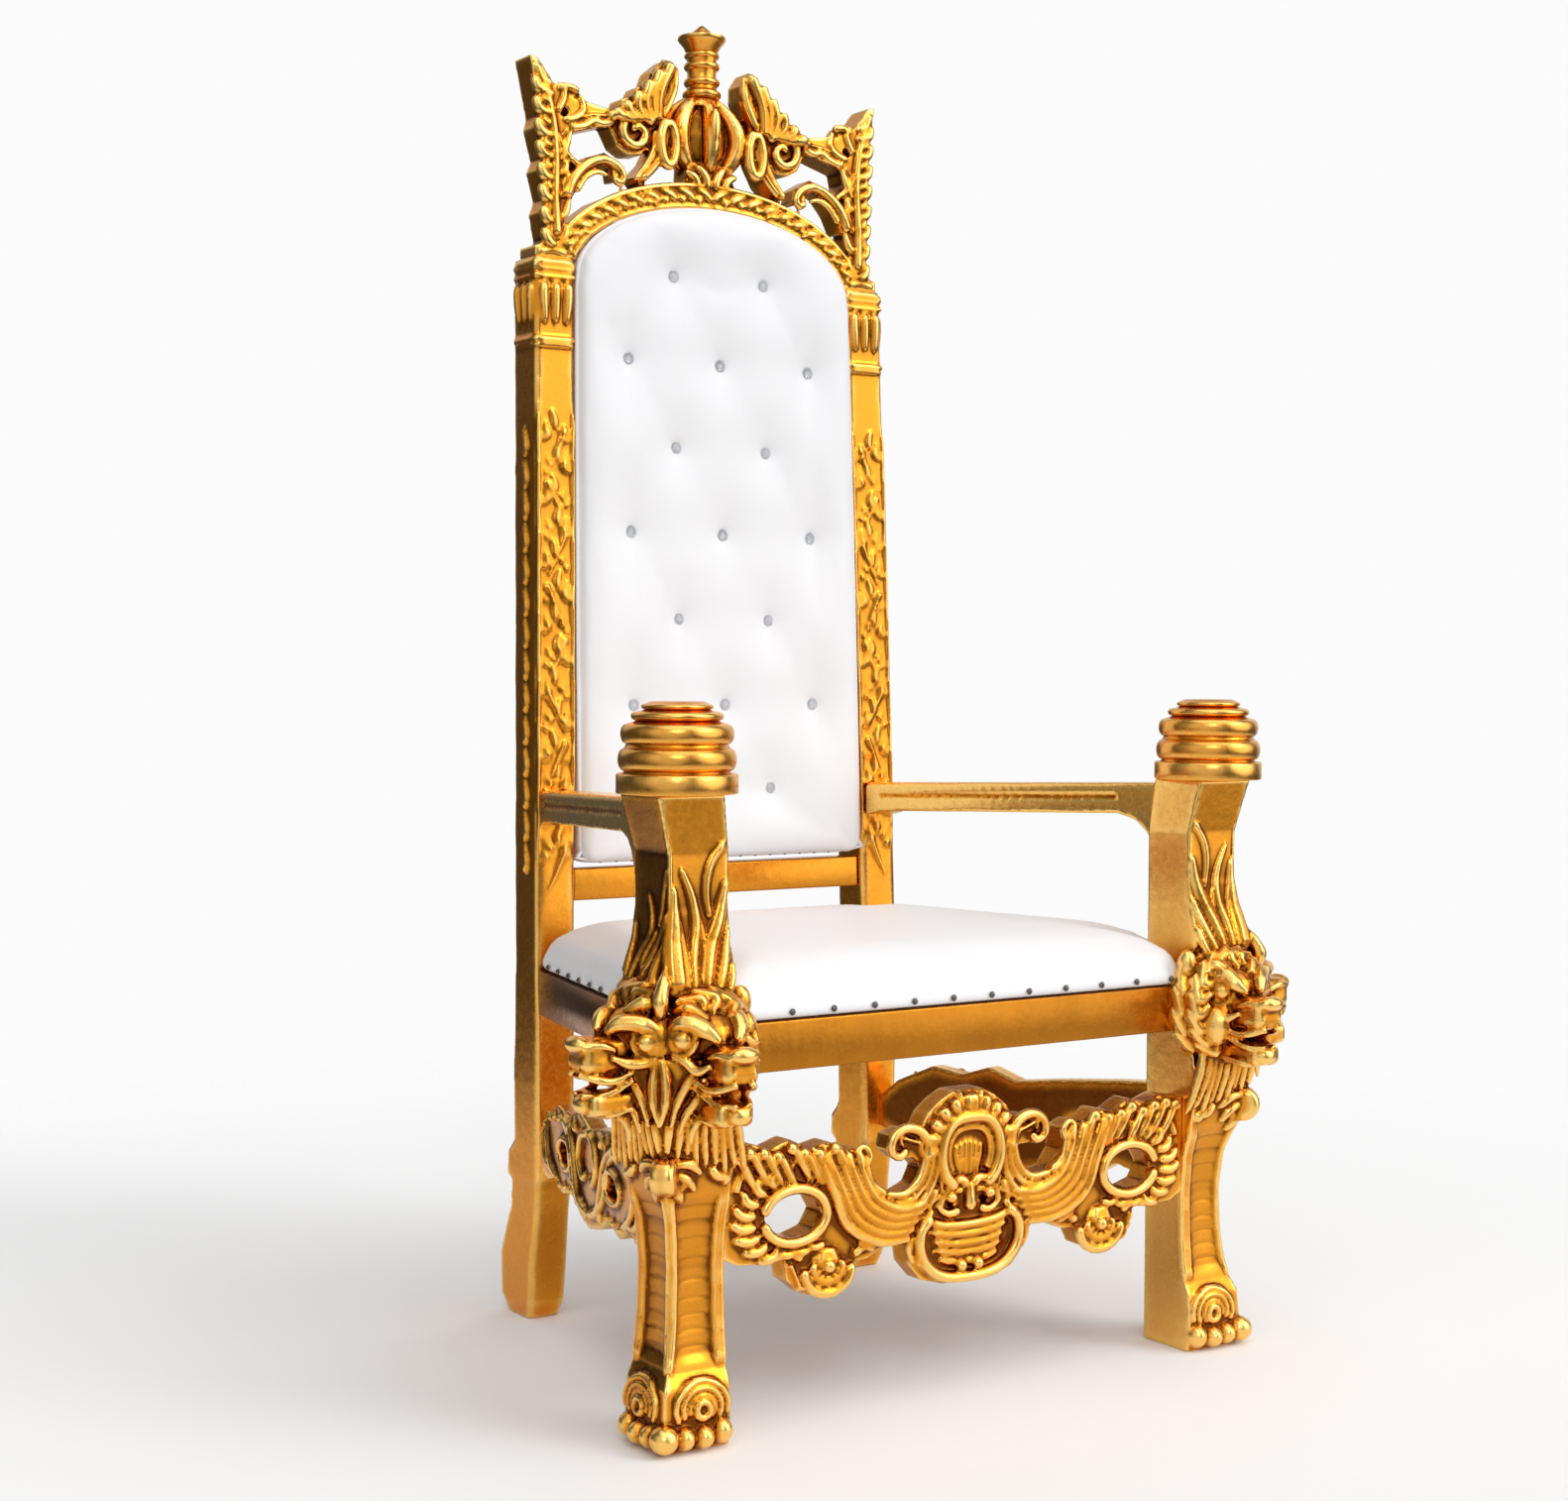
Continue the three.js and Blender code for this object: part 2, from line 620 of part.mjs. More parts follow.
// height, side of the square, hollow of its two outer faces
const POST_STATIONS = [
  [0, 92, 0], [44, 97, 0], [74, 96, 0], [98, 82, 4], [150, 75, 6], [210, 73, 7], [262, 77, 6], [312, 97, 0],
  [352, 98, 0], [400, 108, 0], [528, 108, 0], [552, 97, 0], [590, 84, 0], [630, 79, 0],
  [SPLAY_START, 80, 0], [CAP_BOTTOM - GAP, 89, 0],
];
const HEAD_AXIS = 57; // from the inner corner to the middle of each head
const TOE = { radius: 20, high: 22, low: 1 }; // radius, half height and clearance of a toe
const KNEE = { middle: 91, height: 322, radius: 25, half: 16 }; // scroll on the outer corner

function postSide(z) {
  const upper = POST_STATIONS.findIndex(([height]) => height >= z);
  const [z1, s1] = POST_STATIONS[Math.max(upper, 1)];
  const [z0, s0] = POST_STATIONS[Math.max(upper, 1) - 1];
  return THREE.MathUtils.lerp(s0, s1, (z - z0) / (z1 - z0));
}

function postShift(z) {
  return SPLAY * Math.max(0, (z - SPLAY_START) / (CAP_BOTTOM - SPLAY_START));
}

// a is outward and b forward of the inner corner, on the +X post
function postPoint(a, b, z) {
  return new THREE.Vector3(CORNER_X + postShift(z) + a, CORNER_Y - b, z);
}

// The two carved faces of the post: p runs away from the inner corner.
const POST_FACES = [
  (p, z, c) => postPoint(postSide(z) + c, p, z),
  (p, z, c) => postPoint(p, postSide(z) + c, z),
];

// The two directions that the heads look in.
const HEAD_TURNS = [
  (u, v, w) => postPoint(u, HEAD_AXIS + v, w),
  (u, v, w) => postPoint(HEAD_AXIS + v, u, w),
];

function postCore() {
  const rings = POST_STATIONS.map(([z, side, hollow]) => [
    [0, 0], [side, 0], [side - hollow, side / 2], [side, side], [side / 2, side - hollow], [0, side],
  ].map(([a, b]) => postPoint(a, b, z)));
  return loft(rings);
}

// A body along a head's axis. Each station is [u, half width, low, high].
function headLoft(turn, stations) {
  const rings = stations.map(([u, half, low, high]) => {
    const middle = (low + high) / 2;
    const reach = (high - low) / 2;
    const flat = 0.6;
    return [
      [half, 0], [half * flat, reach], [-half * flat, reach],
      [-half, 0], [-half * flat, -reach], [half * flat, -reach],
    ].map(([v, w]) => turn(u, v, middle + w));
  });
  return loft(rings);
}

function headBall(turn, [u, v, w], [ru, rv, rw]) {
  const centre = turn(u, v, w);
  const size = turn(u + ru, v + rv, w + rw).sub(centre);
  return ball(centre.toArray(), Math.abs(size.x), Math.abs(size.y), size.z, 6, 3);
}

function lionHead(turn) {
  const pieces = [
    headLoft(turn, [[60, 54, 402, 544], [110, 54, 402, 546], [140, 36, 436, 510]]),
    headLoft(turn, [[118, 33, 436, 494], [186, 25, 438, 481], [199, 17, 446, 471]]),
    headLoft(turn, [[96, 30, 388, 424], [168, 21, 400, 421], [181, 12, 407, 419]]),
    headBall(turn, [96, -70, 516], [12, 18, 19]),
  ];
  for (const side of [-1, 1]) {
    pieces.push(headBall(turn, [138, 21 * side, 498], [15, 14, 11]));
    pieces.push(headBall(turn, [136, 32 * side, 456], [20, 13, 18]));
  }
  // locks of the mane, combed back from the face; the cheek towards the other head is smooth
  for (const angle of [64, 104, 144, 184, 224]) {
    const lock = (reach, turnBy) => [
      reach * Math.cos((angle + turnBy) * DEGREE), 470 + 1.12 * reach * Math.sin((angle + turnBy) * DEGREE),
    ];
    const rings = [[130, 38, 0, 11], [92, 72, 8, 15]].map(([u, reach, bend, half]) => {
      const [v, w] = lock(reach, bend);
      const across = new THREE.Vector2(-Math.sin(angle * DEGREE), Math.cos(angle * DEGREE));
      const inward = lock(reach - 22, bend);
      return [
        turn(u, v + across.x * half, w + across.y * half),
        turn(u, v - across.x * half, w - across.y * half),
        turn(u - 4, inward[0], inward[1]),
      ];
    });
    pieces.push(loft(rings));
  }
  return pieces;
}

function frontPost() {
  const pieces = [postCore()];
  for (const turn of HEAD_TURNS) {
    pieces.push(...lionHead(turn));
  }
  for (const face of POST_FACES) {
    // strands of leaf that climb the support
    for (const [p, top] of [[18, 668], [52, 690], [86, 650]]) {
      pieces.push(ridge(face, [[p, 546], [p * 0.86 + 5, 600], [p * 0.74, top]],
        { width: 20, height: 8, tip: 0.2, steps: 2 }));
    }
    // the fringe of the beard above the knee
    for (let i = 0; i < 3; i++) {
      const p = 18 + 28 * i;
      pieces.push(ridge(face, [[p, 392], [p - 2, 346]], { width: 20, height: 7, tip: 0.5, steps: 1 }));
    }
    // toes
    for (const p of [20, 58]) {
      pieces.push(toe(face(p, TOE.high + TOE.low, 2)));
    }
  }
  pieces.push(toe(postPoint(96, 96, TOE.high + TOE.low)));
  pieces.push(kneeScroll());
  return toGeometry(join(pieces));
}

function toe(at) {
  return ball(at.toArray(), TOE.radius, TOE.radius, TOE.high, 6, 3);
}

// A drum that lies across the outer corner, with its ends drawn in.
function kneeScroll() {
  const sides = 8;
  const rings = [[-KNEE.half, 0.66], [-KNEE.half * 0.4, 1], [KNEE.half * 0.4, 1], [KNEE.half, 0.66]].map(
    ([across, share]) => Array.from({ length: sides }, (_, i) => {
      const angle = (2 * Math.PI * i) / sides;
      const out = (KNEE.radius * share * Math.cos(angle)) * Math.SQRT1_2 + KNEE.middle;
      const side = across * Math.SQRT1_2;
      return postPoint(out + side, out - side, KNEE.height + KNEE.radius * share * Math.sin(angle));
    }),
  );
  return loft(rings);
}

const rightFrontPost = frontPost();
addPiece("front_post_right", rightFrontPost, GILT);
addPiece("front_post_left", mirrored(rightFrontPost), GILT);

// ---- Caps of the front posts: turned rings on a plain collar ----
for (const [word, side] of [["left", -1], ["right", 1]]) {
  const cap = turned([
    [0, CAP_BOTTOM], [CAP_RADIUS, CAP_BOTTOM], [CAP_RADIUS, 782], [62, 786], [68, 797],
    [67, 808], [58, 815], [65, 826], [64, 836], [52, 842], [50, 851], [40, 854], [36, 863],
    [30, CAP_TOP], [0, CAP_TOP],
  ], 10);
  cap.translate(side * (CORNER_X + CAP_OFFSET), CORNER_Y - CAP_OFFSET, 0);
  addPiece(`cap_${word}`, cap, GILT);
}

// ---- Aprons: pierced and carved boards between the legs ----
function frontApron() {
  const front = carvedFace(
    new THREE.Vector3(0, APRON_FRONT, 0), new THREE.Vector3(1, 0, 0),
    new THREE.Vector3(0, 0, 1), new THREE.Vector3(0, -1, 0),
  );
  const end = CORNER_X - GAP;
  const right = [
    [22, 381], [44, 370], [62, 356], [74, 336], [96, 340], [116, 334], [120, 316], [106, 303],
    [84, 304], [70, 290], [80, 270], [106, 260], [134, 268], [150, 290], [154, 318], [172, 326],
    [186, 318], [210, 337], [238, 331], [266, 345], [294, 336], [322, 345], [end, 338], [end, 212],
    [338, 202], [298, 200], [276, 206], [270, 176], [244, 156], [214, 151], [186, 162], [174, 186],
    [152, 188], [130, 199], [96, 204], [90, 172], [70, 150], [36, 141],
  ];
  const outline = shapeOf([...right, ...right.map(([x, z]) => [-x, z]).reverse()]);
  const opening = (x, z, rx, rz, points) => new THREE.Path(
    Array.from({ length: points }, (_, i) => {
      const angle = (2 * Math.PI * i) / points;
      return new THREE.Vector2(x + rx * Math.cos(angle), z + rz * Math.sin(angle));
    }),
  );
  for (const side of [-1, 1]) {
    outline.holes.push(
      opening(side * 262, 254, 40, 28, 8), opening(side * 92, 230, 20, 6, 4),
      opening(side * 27, 243, 9, 8, 4),
    );
  }
  const half = [
    // the large scroll that cups the notch, and the sweep of leaf that crosses to the end
    ridge(front, [[104, 322], [112, 330], [96, 336], [70, 312], [66, 280], [98, 250], [140, 262],
      [158, 300], [172, 322]], { width: 17, height: 10, tip: 0.6, steps: 6 }),
    ridge(front, [[30, 262], [70, 236], [120, 232], [170, 262], [204, 312]],
      { width: 16, height: 9, tip: 0.5, steps: 3 }),
    ridge(front, [[96, 210], [150, 212], [200, 244], [226, 296]],
      { width: 18, height: 8, tip: 0.5, steps: 2 }),
    // the frame of the cartouche
    ridge(front, [[4, 345], [40, 332], [52, 296], [44, 258]], { width: 12, height: 12, tip: 0.8, steps: 3 }),
    // the cup below the cartouche
    ridge(front, [[86, 206], [80, 172], [52, 150], [4, 146]], { width: 14, height: 9, tip: 0.7, steps: 3 }),
    // the pendant
    ridge(front, [[268, 196], [254, 166], [214, 158], [182, 178]],
      { width: 15, height: 9, tip: 0.7, steps: 3 }),
    ball([215, APRON_FRONT, 196], 24, 11, 17, 6, 4),
    ball([14, APRON_FRONT, 162], 9, 10, 8, 6, 3),
  ];
  // lobes of the shell
  for (const angle of [14, 44, 74]) {
    const at = (reach) => [reach * Math.sin(angle * DEGREE) * 0.86, 300 + reach * Math.cos(angle * DEGREE)];
    half.push(ridge(front, [at(50), at(82)], { width: 24, height: 12, tip: 0.7, steps: 1 }));
  }
  // short leaves along the top of the end board
  for (const x of [216, 256, 296, 326]) {
    half.push(ridge(front, [[x + 18, 290], [x, 334]], { width: 25, height: 8, tip: 0.5, steps: 1 }));
  }
  // bars across the cup
  for (const [z, reach] of [[208, 62], [184, 54]]) {
    half.push(ridge(front, [[0, z], [reach, z]], { width: 12, height: 6, tip: 0.8, steps: 1 }));
  }
  return toGeometry(join([slab(outline, APRON_FRONT, APRON_BACK), ...bothSides(half)]));
}

addPiece("front_apron", frontApron(), GILT);

// A side apron is drawn from its back end, s along it and z up, and turned into place.
{
  const back = new THREE.Vector2(POST_X_SEAT + 25, POST_FRONT - GAP);
  const fore = new THREE.Vector2(CORNER_X + 60, CORNER_Y + GAP);
  const along = fore.clone().sub(back);
  const length = along.length();
  const thick = 26;
  const outline = shapeOf([
    [-9, 262], [30, 292], [96, 320], [150, 314], [200, 330], [250, 316], [320, 326],
    [430, 338], [length + 9, 344], [length + 9, 226], [462, 212], [424, 222], [392, 204],
    [340, 214], [300, 196], [250, 186], [206, 196], [166, 214], [116, 204], [84, 220], [40, 208],
    [-9, 220],
  ]);
  for (const s of [138, 362]) {
    outline.holes.push(new THREE.Path([0, 1, 2, 3, 4, 5].map((i) => new THREE.Vector2(
      s + 30 * Math.cos(i * 60 * DEGREE), 262 + 16 * Math.sin(i * 60 * DEGREE)))));
  }
  const face = carvedFace(
    new THREE.Vector3(0, 0, 0), new THREE.Vector3(1, 0, 0),
    new THREE.Vector3(0, 0, 1), new THREE.Vector3(0, 1, 0),
  );
  const middle = length / 2;
  const half = [
    ridge(face, [[middle + 6, 202], [middle + 48, 222], [middle + 76, 290], [middle + 126, 318]],
      { width: 20, height: 7, tip: 0.4, steps: 3 }),
    ridge(face, [[middle + 158, 222], [middle + 196, 248], [middle + 210, 304]],
      { width: 18, height: 7, tip: 0.4, steps: 2 }),
  ];
  const other = half.map((piece) => mirrored(piece).translate(length, 0, 0));
  const apron = toGeometry(join([slab(outline, -thick, 0), ...half, ...other]));
  apron.rotateZ(Math.atan2(along.y, along.x));
  apron.translate(back.x, back.y, 0);
  // its ends are trued to the legs, which it meets at a slight angle
  const space = new THREE.BoxGeometry(400, POST_FRONT - CORNER_Y - 2 * GAP, 400);
  space.translate(back.x + 50, (POST_FRONT + CORNER_Y) / 2, 260);
  const fitted = toGeometry(solid(apron).intersect(solid(space)));
  addPiece("side_apron_right", fitted, GILT);
  addPiece("side_apron_left", mirrored(fitted), GILT);
}

export default throne;
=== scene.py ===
"""A carved and gilded armchair of state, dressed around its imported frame.

Laid out as a Blender add-on and run as a script. Objects are in metres; carving paths on a face
are written in millimetres and turned into metres where the face is mapped.
"""
import json
import math

import bpy
import numpy as np
from mathutils import Matrix, Vector

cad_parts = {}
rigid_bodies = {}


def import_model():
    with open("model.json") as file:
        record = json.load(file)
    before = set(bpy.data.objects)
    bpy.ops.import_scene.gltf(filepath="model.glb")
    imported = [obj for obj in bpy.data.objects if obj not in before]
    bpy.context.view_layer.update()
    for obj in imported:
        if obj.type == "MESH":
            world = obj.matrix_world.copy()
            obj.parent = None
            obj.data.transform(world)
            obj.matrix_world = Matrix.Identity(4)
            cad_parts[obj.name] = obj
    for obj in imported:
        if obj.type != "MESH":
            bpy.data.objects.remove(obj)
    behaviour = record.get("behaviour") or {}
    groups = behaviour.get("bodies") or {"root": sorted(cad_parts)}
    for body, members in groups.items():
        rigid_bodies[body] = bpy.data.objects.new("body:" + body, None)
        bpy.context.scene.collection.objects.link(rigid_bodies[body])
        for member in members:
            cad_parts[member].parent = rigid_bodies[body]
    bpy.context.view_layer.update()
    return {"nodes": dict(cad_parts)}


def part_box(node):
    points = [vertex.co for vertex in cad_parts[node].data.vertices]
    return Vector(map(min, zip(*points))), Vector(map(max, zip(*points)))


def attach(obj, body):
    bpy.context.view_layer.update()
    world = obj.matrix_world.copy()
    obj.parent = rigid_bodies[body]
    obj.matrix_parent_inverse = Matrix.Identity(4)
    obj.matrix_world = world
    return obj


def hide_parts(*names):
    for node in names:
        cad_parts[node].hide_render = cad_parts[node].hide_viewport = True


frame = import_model()

bl_info = {
    "name": "Carved throne",
    "version": (1, 0, 0),
    "blender": (4, 5, 0),
    "location": "View3D > Sidebar > Throne",
    "description": "Carves, gilds and upholsters a ceremonial armchair around its frame",
    "category": "Add Mesh",
}

# ---- Places taken from the frame, and the driving sizes of the carving ----
MM = 0.001
GAP = 0.3 * MM  # clearance between touching pieces
LEAN_START = 0.480  # the back is upright below this height
LEAN = math.tan(math.radians(2.09))
POST_HALF = 0.031  # half the section of a back post

corner_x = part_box("seat_rail_front")[1].x + GAP
corner_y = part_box("arm_right")[0].y - GAP
back_y = (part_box("seat_rail_back")[0].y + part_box("seat_rail_back")[1].y) / 2
post_front = back_y - POST_HALF
panel_front = post_front + 0.002
crest_front = back_y - 0.024
apron_front = corner_y - 0.072
seat_front = corner_y - 0.081
seat_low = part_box("seat_rail_front")[1].z
post_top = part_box("crest")[0].z

# the arch over the panel, the panel's foot and the middle of a back post, in millimetres
ARCH_SPRING = 1445
ARCH_HALF = 228
ARCH_RISE = 114
PANEL_BOTTOM = 631
STILE_AT_SEAT = 275
STILE_AT_CREST = 259.5

# pieces that are cut a little coarser than the sidebar says, and the voxels of the pads
POST_COARSER, CREST_COARSER, ARM_COARSER = 1.05, 1.06, 1.2
PANEL_VOXEL, SEAT_VOXEL = 0.010, 0.0115


# ---- Settings shown in the sidebar ----
class GiltSettings(bpy.types.PropertyGroup):
    """Colours and polish of the gilding."""

    # the bright leaf on raised edges and crests is partly real burnish and partly a painted
    # highlight
    bright: bpy.props.FloatVectorProperty(
        name="Bright gold", description="Leaf on the raised edges", subtype="COLOR", size=4,
        default=(1.0, 0.62, 0.17, 1.0), min=0.0, max=1.0)
    body: bpy.props.FloatVectorProperty(
        name="Body gold", description="Leaf on the open surfaces", subtype="COLOR", size=4,
        default=(0.80, 0.31, 0.026, 1.0), min=0.0, max=1.0)
    # the hollow brown is partly a real glaze in the hollows and partly painted shade
    hollow: bpy.props.FloatVectorProperty(
        name="Hollow brown", description="Dark glaze left in the hollows", subtype="COLOR", size=4,
        default=(0.17, 0.048, 0.006, 1.0), min=0.0, max=1.0)
    roughness: bpy.props.FloatProperty(
        name="Roughness", description="Polish of the leaf", default=0.21, min=0.05, max=1.0)


class LeatherSettings(bpy.types.PropertyGroup):
    """Colour and grain of the white covers."""

    colour: bpy.props.FloatVectorProperty(
        name="Colour", description="Colour of the covers", subtype="COLOR", size=4,
        default=(0.86, 0.86, 0.88, 1.0), min=0.0, max=1.0)
    grain: bpy.props.FloatProperty(
        name="Grain", description="Size of the leather grain", subtype="DISTANCE", unit="LENGTH",
        default=0.0022, min=0.0005, max=0.01)


class CarvingSettings(bpy.types.PropertyGroup):
    """How finely the carved pieces are cut."""

    fine: bpy.props.FloatProperty(
        name="Fine cut", description="Mesh size on the crest, aprons and lions", subtype="DISTANCE",
        unit="LENGTH", default=0.0026, min=0.001, max=0.01)
    coarse: bpy.props.FloatProperty(
        name="Coarse cut", description="Mesh size on the arms and back posts", subtype="DISTANCE",
        unit="LENGTH", default=0.0037, min=0.001, max=0.01)


class StudioSettings(bpy.types.PropertyGroup):
    """Camera and light."""

    place: bpy.props.FloatVectorProperty(
        name="Camera place", description="Where the camera stands", subtype="TRANSLATION",
        unit="LENGTH", default=(-1.8907, -2.7057, 0.9062))
    heading: bpy.props.FloatProperty(
        name="Heading", description="Turn of the view from straight ahead", subtype="ANGLE",
        default=math.radians(33.59))
    pitch: bpy.props.FloatProperty(
        name="Pitch", description="How far the view looks down", subtype="ANGLE",
        default=math.radians(1.95))
    roll: bpy.props.FloatProperty(
        name="Roll", description="Tilt of the camera", subtype="ANGLE", default=math.radians(0.32))
    lens: bpy.props.FloatProperty(
        name="Lens", description="Focal length in millimetres", default=56.83, min=20.0, max=200.0)


def settings(kind):
    return getattr(bpy.context.scene, "throne_" + kind)


# ---- Hand tools ----
def put_down():
    """Leaves edit mode and selects nothing."""
    if bpy.context.object and bpy.context.object.mode != "OBJECT":
        bpy.ops.object.mode_set(mode="OBJECT")
    bpy.ops.object.select_all(action="DESELECT")


def pick_up(*objects):
    """Selects these objects and makes the first one active."""
    put_down()
    for obj in objects:
        obj.select_set(True)
    bpy.context.view_layer.objects.active = objects[0]
    return objects[0]


def finish_with(obj, kind, **values):
    """Adds a modifier, sets it and applies it."""
    pick_up(obj)
    modifier = obj.modifiers.new(kind.title(), kind)
    for key, value in values.items():
        setattr(modifier, key, value)
    bpy.ops.object.modifier_apply(modifier=modifier.name)
    return obj


def joined(name, parts):
    """Joins the parts into the first one."""
    pick_up(*parts)
    if len(parts) > 1:
        bpy.ops.object.join()
    obj = bpy.context.object
    obj.name = name
    bpy.ops.object.transform_apply(location=True, rotation=True, scale=True)
    return obj


def open_mesh():
    """Enters edit mode with the whole mesh selected."""
    bpy.ops.object.mode_set(mode="EDIT")
    bpy.ops.mesh.select_all(action="SELECT")


def close_mesh():
    """Turns every face outward and leaves edit mode."""
    bpy.ops.mesh.select_all(action="SELECT")
    bpy.ops.mesh.normals_make_consistent(inside=False)
    bpy.ops.object.mode_set(mode="OBJECT")


def copy_of_node(node, name):
    """A merged copy of a piece of the frame, free to be reworked."""
    source = frame["nodes"][node]
    source.hide_set(False)
    pick_up(source)
    bpy.ops.object.duplicate()
    obj = bpy.context.object
    obj.name = name
    obj.parent = None
    for key in [k for k in obj.keys() if k.startswith("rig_")]:
        del obj[key]
    obj.data.materials.clear()
    open_mesh()
    bpy.ops.mesh.remove_doubles(threshold=1e-5)
    bpy.ops.object.mode_set(mode="OBJECT")
    return obj


def mirror_copy(obj, name):
    """The same piece on the other side of the chair."""
    pick_up(obj)
    bpy.ops.object.duplicate()
    twin = bpy.context.object
    twin.name = name
    twin.scale.x = -1
    bpy.ops.object.transform_apply(location=False, rotation=False, scale=True)
    open_mesh()
    close_mesh()
    return twin


def soften(obj, rounds):
    """Evens a surface, as a carver's scraper or a tight cover does."""
    return finish_with(obj, "SMOOTH", factor=0.5, iterations=rounds)


def carve_together(name, parts, cut, rounds):
    """Makes one softened skin of overlapping parts, without crumbs or pockets inside."""
    obj = joined(name, parts)
    obj.data.remesh_voxel_size = cut * 1.0
    bpy.ops.object.voxel_remesh()
    # what isn't linked to the highest point is loose
    bpy.ops.object.mode_set(mode="EDIT")
    bpy.ops.mesh.select_all(action="DESELECT")
    bpy.ops.object.mode_set(mode="OBJECT")
    obj.data.vertices[int(read_points(obj)[:, 2].argmax())].select = True
    bpy.ops.object.mode_set(mode="EDIT")
    bpy.ops.mesh.select_linked()
    bpy.ops.mesh.select_all(action="INVERT")
    bpy.ops.mesh.delete(type="VERT")
    bpy.ops.object.mode_set(mode="OBJECT")
    return soften(obj, rounds)


def read_points(obj):
    points = np.empty(len(obj.data.vertices) * 3)
    obj.data.vertices.foreach_get("co", points)
    return points.reshape(-1, 3)


def write_points(obj, points):
    obj.data.vertices.foreach_set("co", points.reshape(-1))
    obj.data.update()


def read_normals(obj):
    normals = np.empty(len(obj.data.vertices) * 3)
    obj.data.vertex_normals.foreach_get("vector", normals)
    return normals.reshape(-1, 3)


def average_neighbours(obj, steps, values=None):
    """Relaxes the points of a mesh, or values on them, without moving the mesh."""
    edges = np.empty(len(obj.data.edges) * 2, dtype=np.int64)
    obj.data.edges.foreach_get("vertices", edges)
    ends = edges.reshape(-1, 2)
    ends = np.concatenate([ends, ends[:, ::-1]])
    count = len(obj.data.vertices)
    degree = np.maximum(np.bincount(ends[:, 0], minlength=count), 1)[:, None]
    relaxed = read_points(obj) if values is None else values
    for _ in range(steps):
        sums = np.stack([np.bincount(ends[:, 0], relaxed[ends[:, 1], k], count)
                         for k in range(relaxed.shape[1])], 1)
        relaxed = 0.5 * relaxed + 0.5 * sums / degree
    return relaxed


def mark_relief(obj, strength=1.0, fine=8, broad=60):
    """Stores how far each point stands above or below the surface around it, in millimetres."""
    points = read_points(obj)
    normals = read_normals(obj)
    close = average_neighbours(obj, fine)
    wide = average_neighbours(obj, broad)
    # the gilding turns these values into painted shade in the hollows and a painted highlight on
    # the crests
    near = ((points - close) * normals).sum(1) / MM
    far = ((points - wide) * normals).sum(1) / MM
    keep_relief(obj, near * strength, far * strength)


def keep_relief(obj, edge, relief):
    """Writes the two values that the gilding reads at each point."""
    for label, values in (("edge", edge), ("relief", relief)):
        kept = obj.data.attributes
        attribute = kept.get(label) or kept.new(label, "FLOAT", "POINT")
        attribute.data.foreach_set("value", np.asarray(values, np.float32))


def paint_light_and_shade(obj, amount, share=1.0):
    """Paints light and shade into the leaf: a positive amount makes it paler, as a painted
    highlight or reflection, a negative one browner, as painted shade, over all or a share of each
    point.
    """
    relief = np.zeros(len(obj.data.vertices))
    if obj.data.attributes.get("relief"):
        obj.data.attributes["relief"].data.foreach_get("value", relief)
        edge = np.zeros(len(relief))
        obj.data.attributes["edge"].data.foreach_get("value", edge)
    else:
        edge = relief
    keep_relief(obj, edge, relief + amount * share)


def trim(obj, axis, low=-math.inf, high=math.inf):
    """Trues a piece to the flat ends that it has along one axis."""
    points = read_points(obj)
    points[:, axis] = np.clip(points[:, axis], low, high)
    write_points(obj, points)


def turned_inward(obj):
    """1 where the surface looks toward the chair's middle, 0 where it looks away."""
    return np.clip(-1.5 * read_normals(obj)[:, 0] - 0.4, 0, 1)


def smooth_shade(obj, angle=None):
    pick_up(obj)
    if angle is None:
        bpy.ops.object.shade_smooth()
    else:
        bpy.ops.object.shade_smooth_by_angle(angle=math.radians(angle))


def hand_over(obj, slot, *nodes):
    """Puts a finished piece on the frame in place of its plain solids."""
    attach(obj, "root")
    if nodes:
        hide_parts(*nodes)


def gild(obj, node_name, angle=None):
    """Gilds a piece and hands it over."""
    smooth_shade(obj, angle)
    paint(obj, "gilding")
    hand_over(obj, "gilded_wood", node_name)


def gild_pair(right, stem):
    """Gilds a right-hand piece, mirrors it and hands both over."""
    smooth_shade(right)
    paint(right, "gilding")
    left = mirror_copy(right, right.name.replace("right", "left"))
    hand_over(right, "gilded_wood", stem + "_right")
    hand_over(left, "gilded_wood", stem + "_left")


# ---- Strokes: rounded ridges along a path, as a gouge leaves them ----
def smooth_path(path, steps):
    """Points on a smooth line through every point of the path."""
    points = [np.array(p, float) for p in path]
    if len(points) == 2:
        return [points[0] + (points[1] - points[0]) * i / steps for i in range(steps + 1)]
    ends = [2 * points[0] - points[1], *points, 2 * points[-1] - points[-2]]
    line = []
    for before, start, end, after in zip(ends, ends[1:], ends[2:], ends[3:]):
        for i in range(steps):
            t = i / steps
            line.append(0.5 * (
                2 * start + (end - before) * t + (2 * before - 5 * start + 4 * end - after) * t ** 2
                + (3 * start - before - 3 * end + after) * t ** 3))
    return line + [points[-1]]


def ridge(face, path, width, height, tip=0.3, start=1.0, swell=0.0, steps=6):
    """A ridge on a face: its points and radii. It narrows from start to tip, swelling between."""
    line = smooth_path(path, steps)
    spans = [float(np.linalg.norm(b - a)) for a, b in zip(line, line[1:])]
    total = sum(spans)
    travelled = np.concatenate([[0.0], np.cumsum(spans)])
    points, radii = [], []
    for place, s in zip(line, travelled):
        t = s / total
        share = start + (tip - start) * t + swell * math.sin(math.pi * t)
        w = max(width * share, 1.0)
        h = max(height * (0.35 + 0.65 * share), 0.5)
        edge = min(s, total - s) / (0.5 * w)
        if edge < 1:
            blunt = math.sqrt(max(0.06, 1 - (1 - edge) ** 2))
            w, h = w * blunt, h * blunt
        radius = (w * w / 4 + h * h) / (2 * h)
        points.append(face(place[0], place[1], h - radius))
        radii.append(radius * MM)
    return points, radii


def fresh_curve(name):
    """An empty curve to draw lines on."""
    put_down()
    bpy.ops.curve.primitive_nurbs_path_add()
    obj = bpy.context.object
    obj.name = name
    obj.data.splines.clear()
    return obj


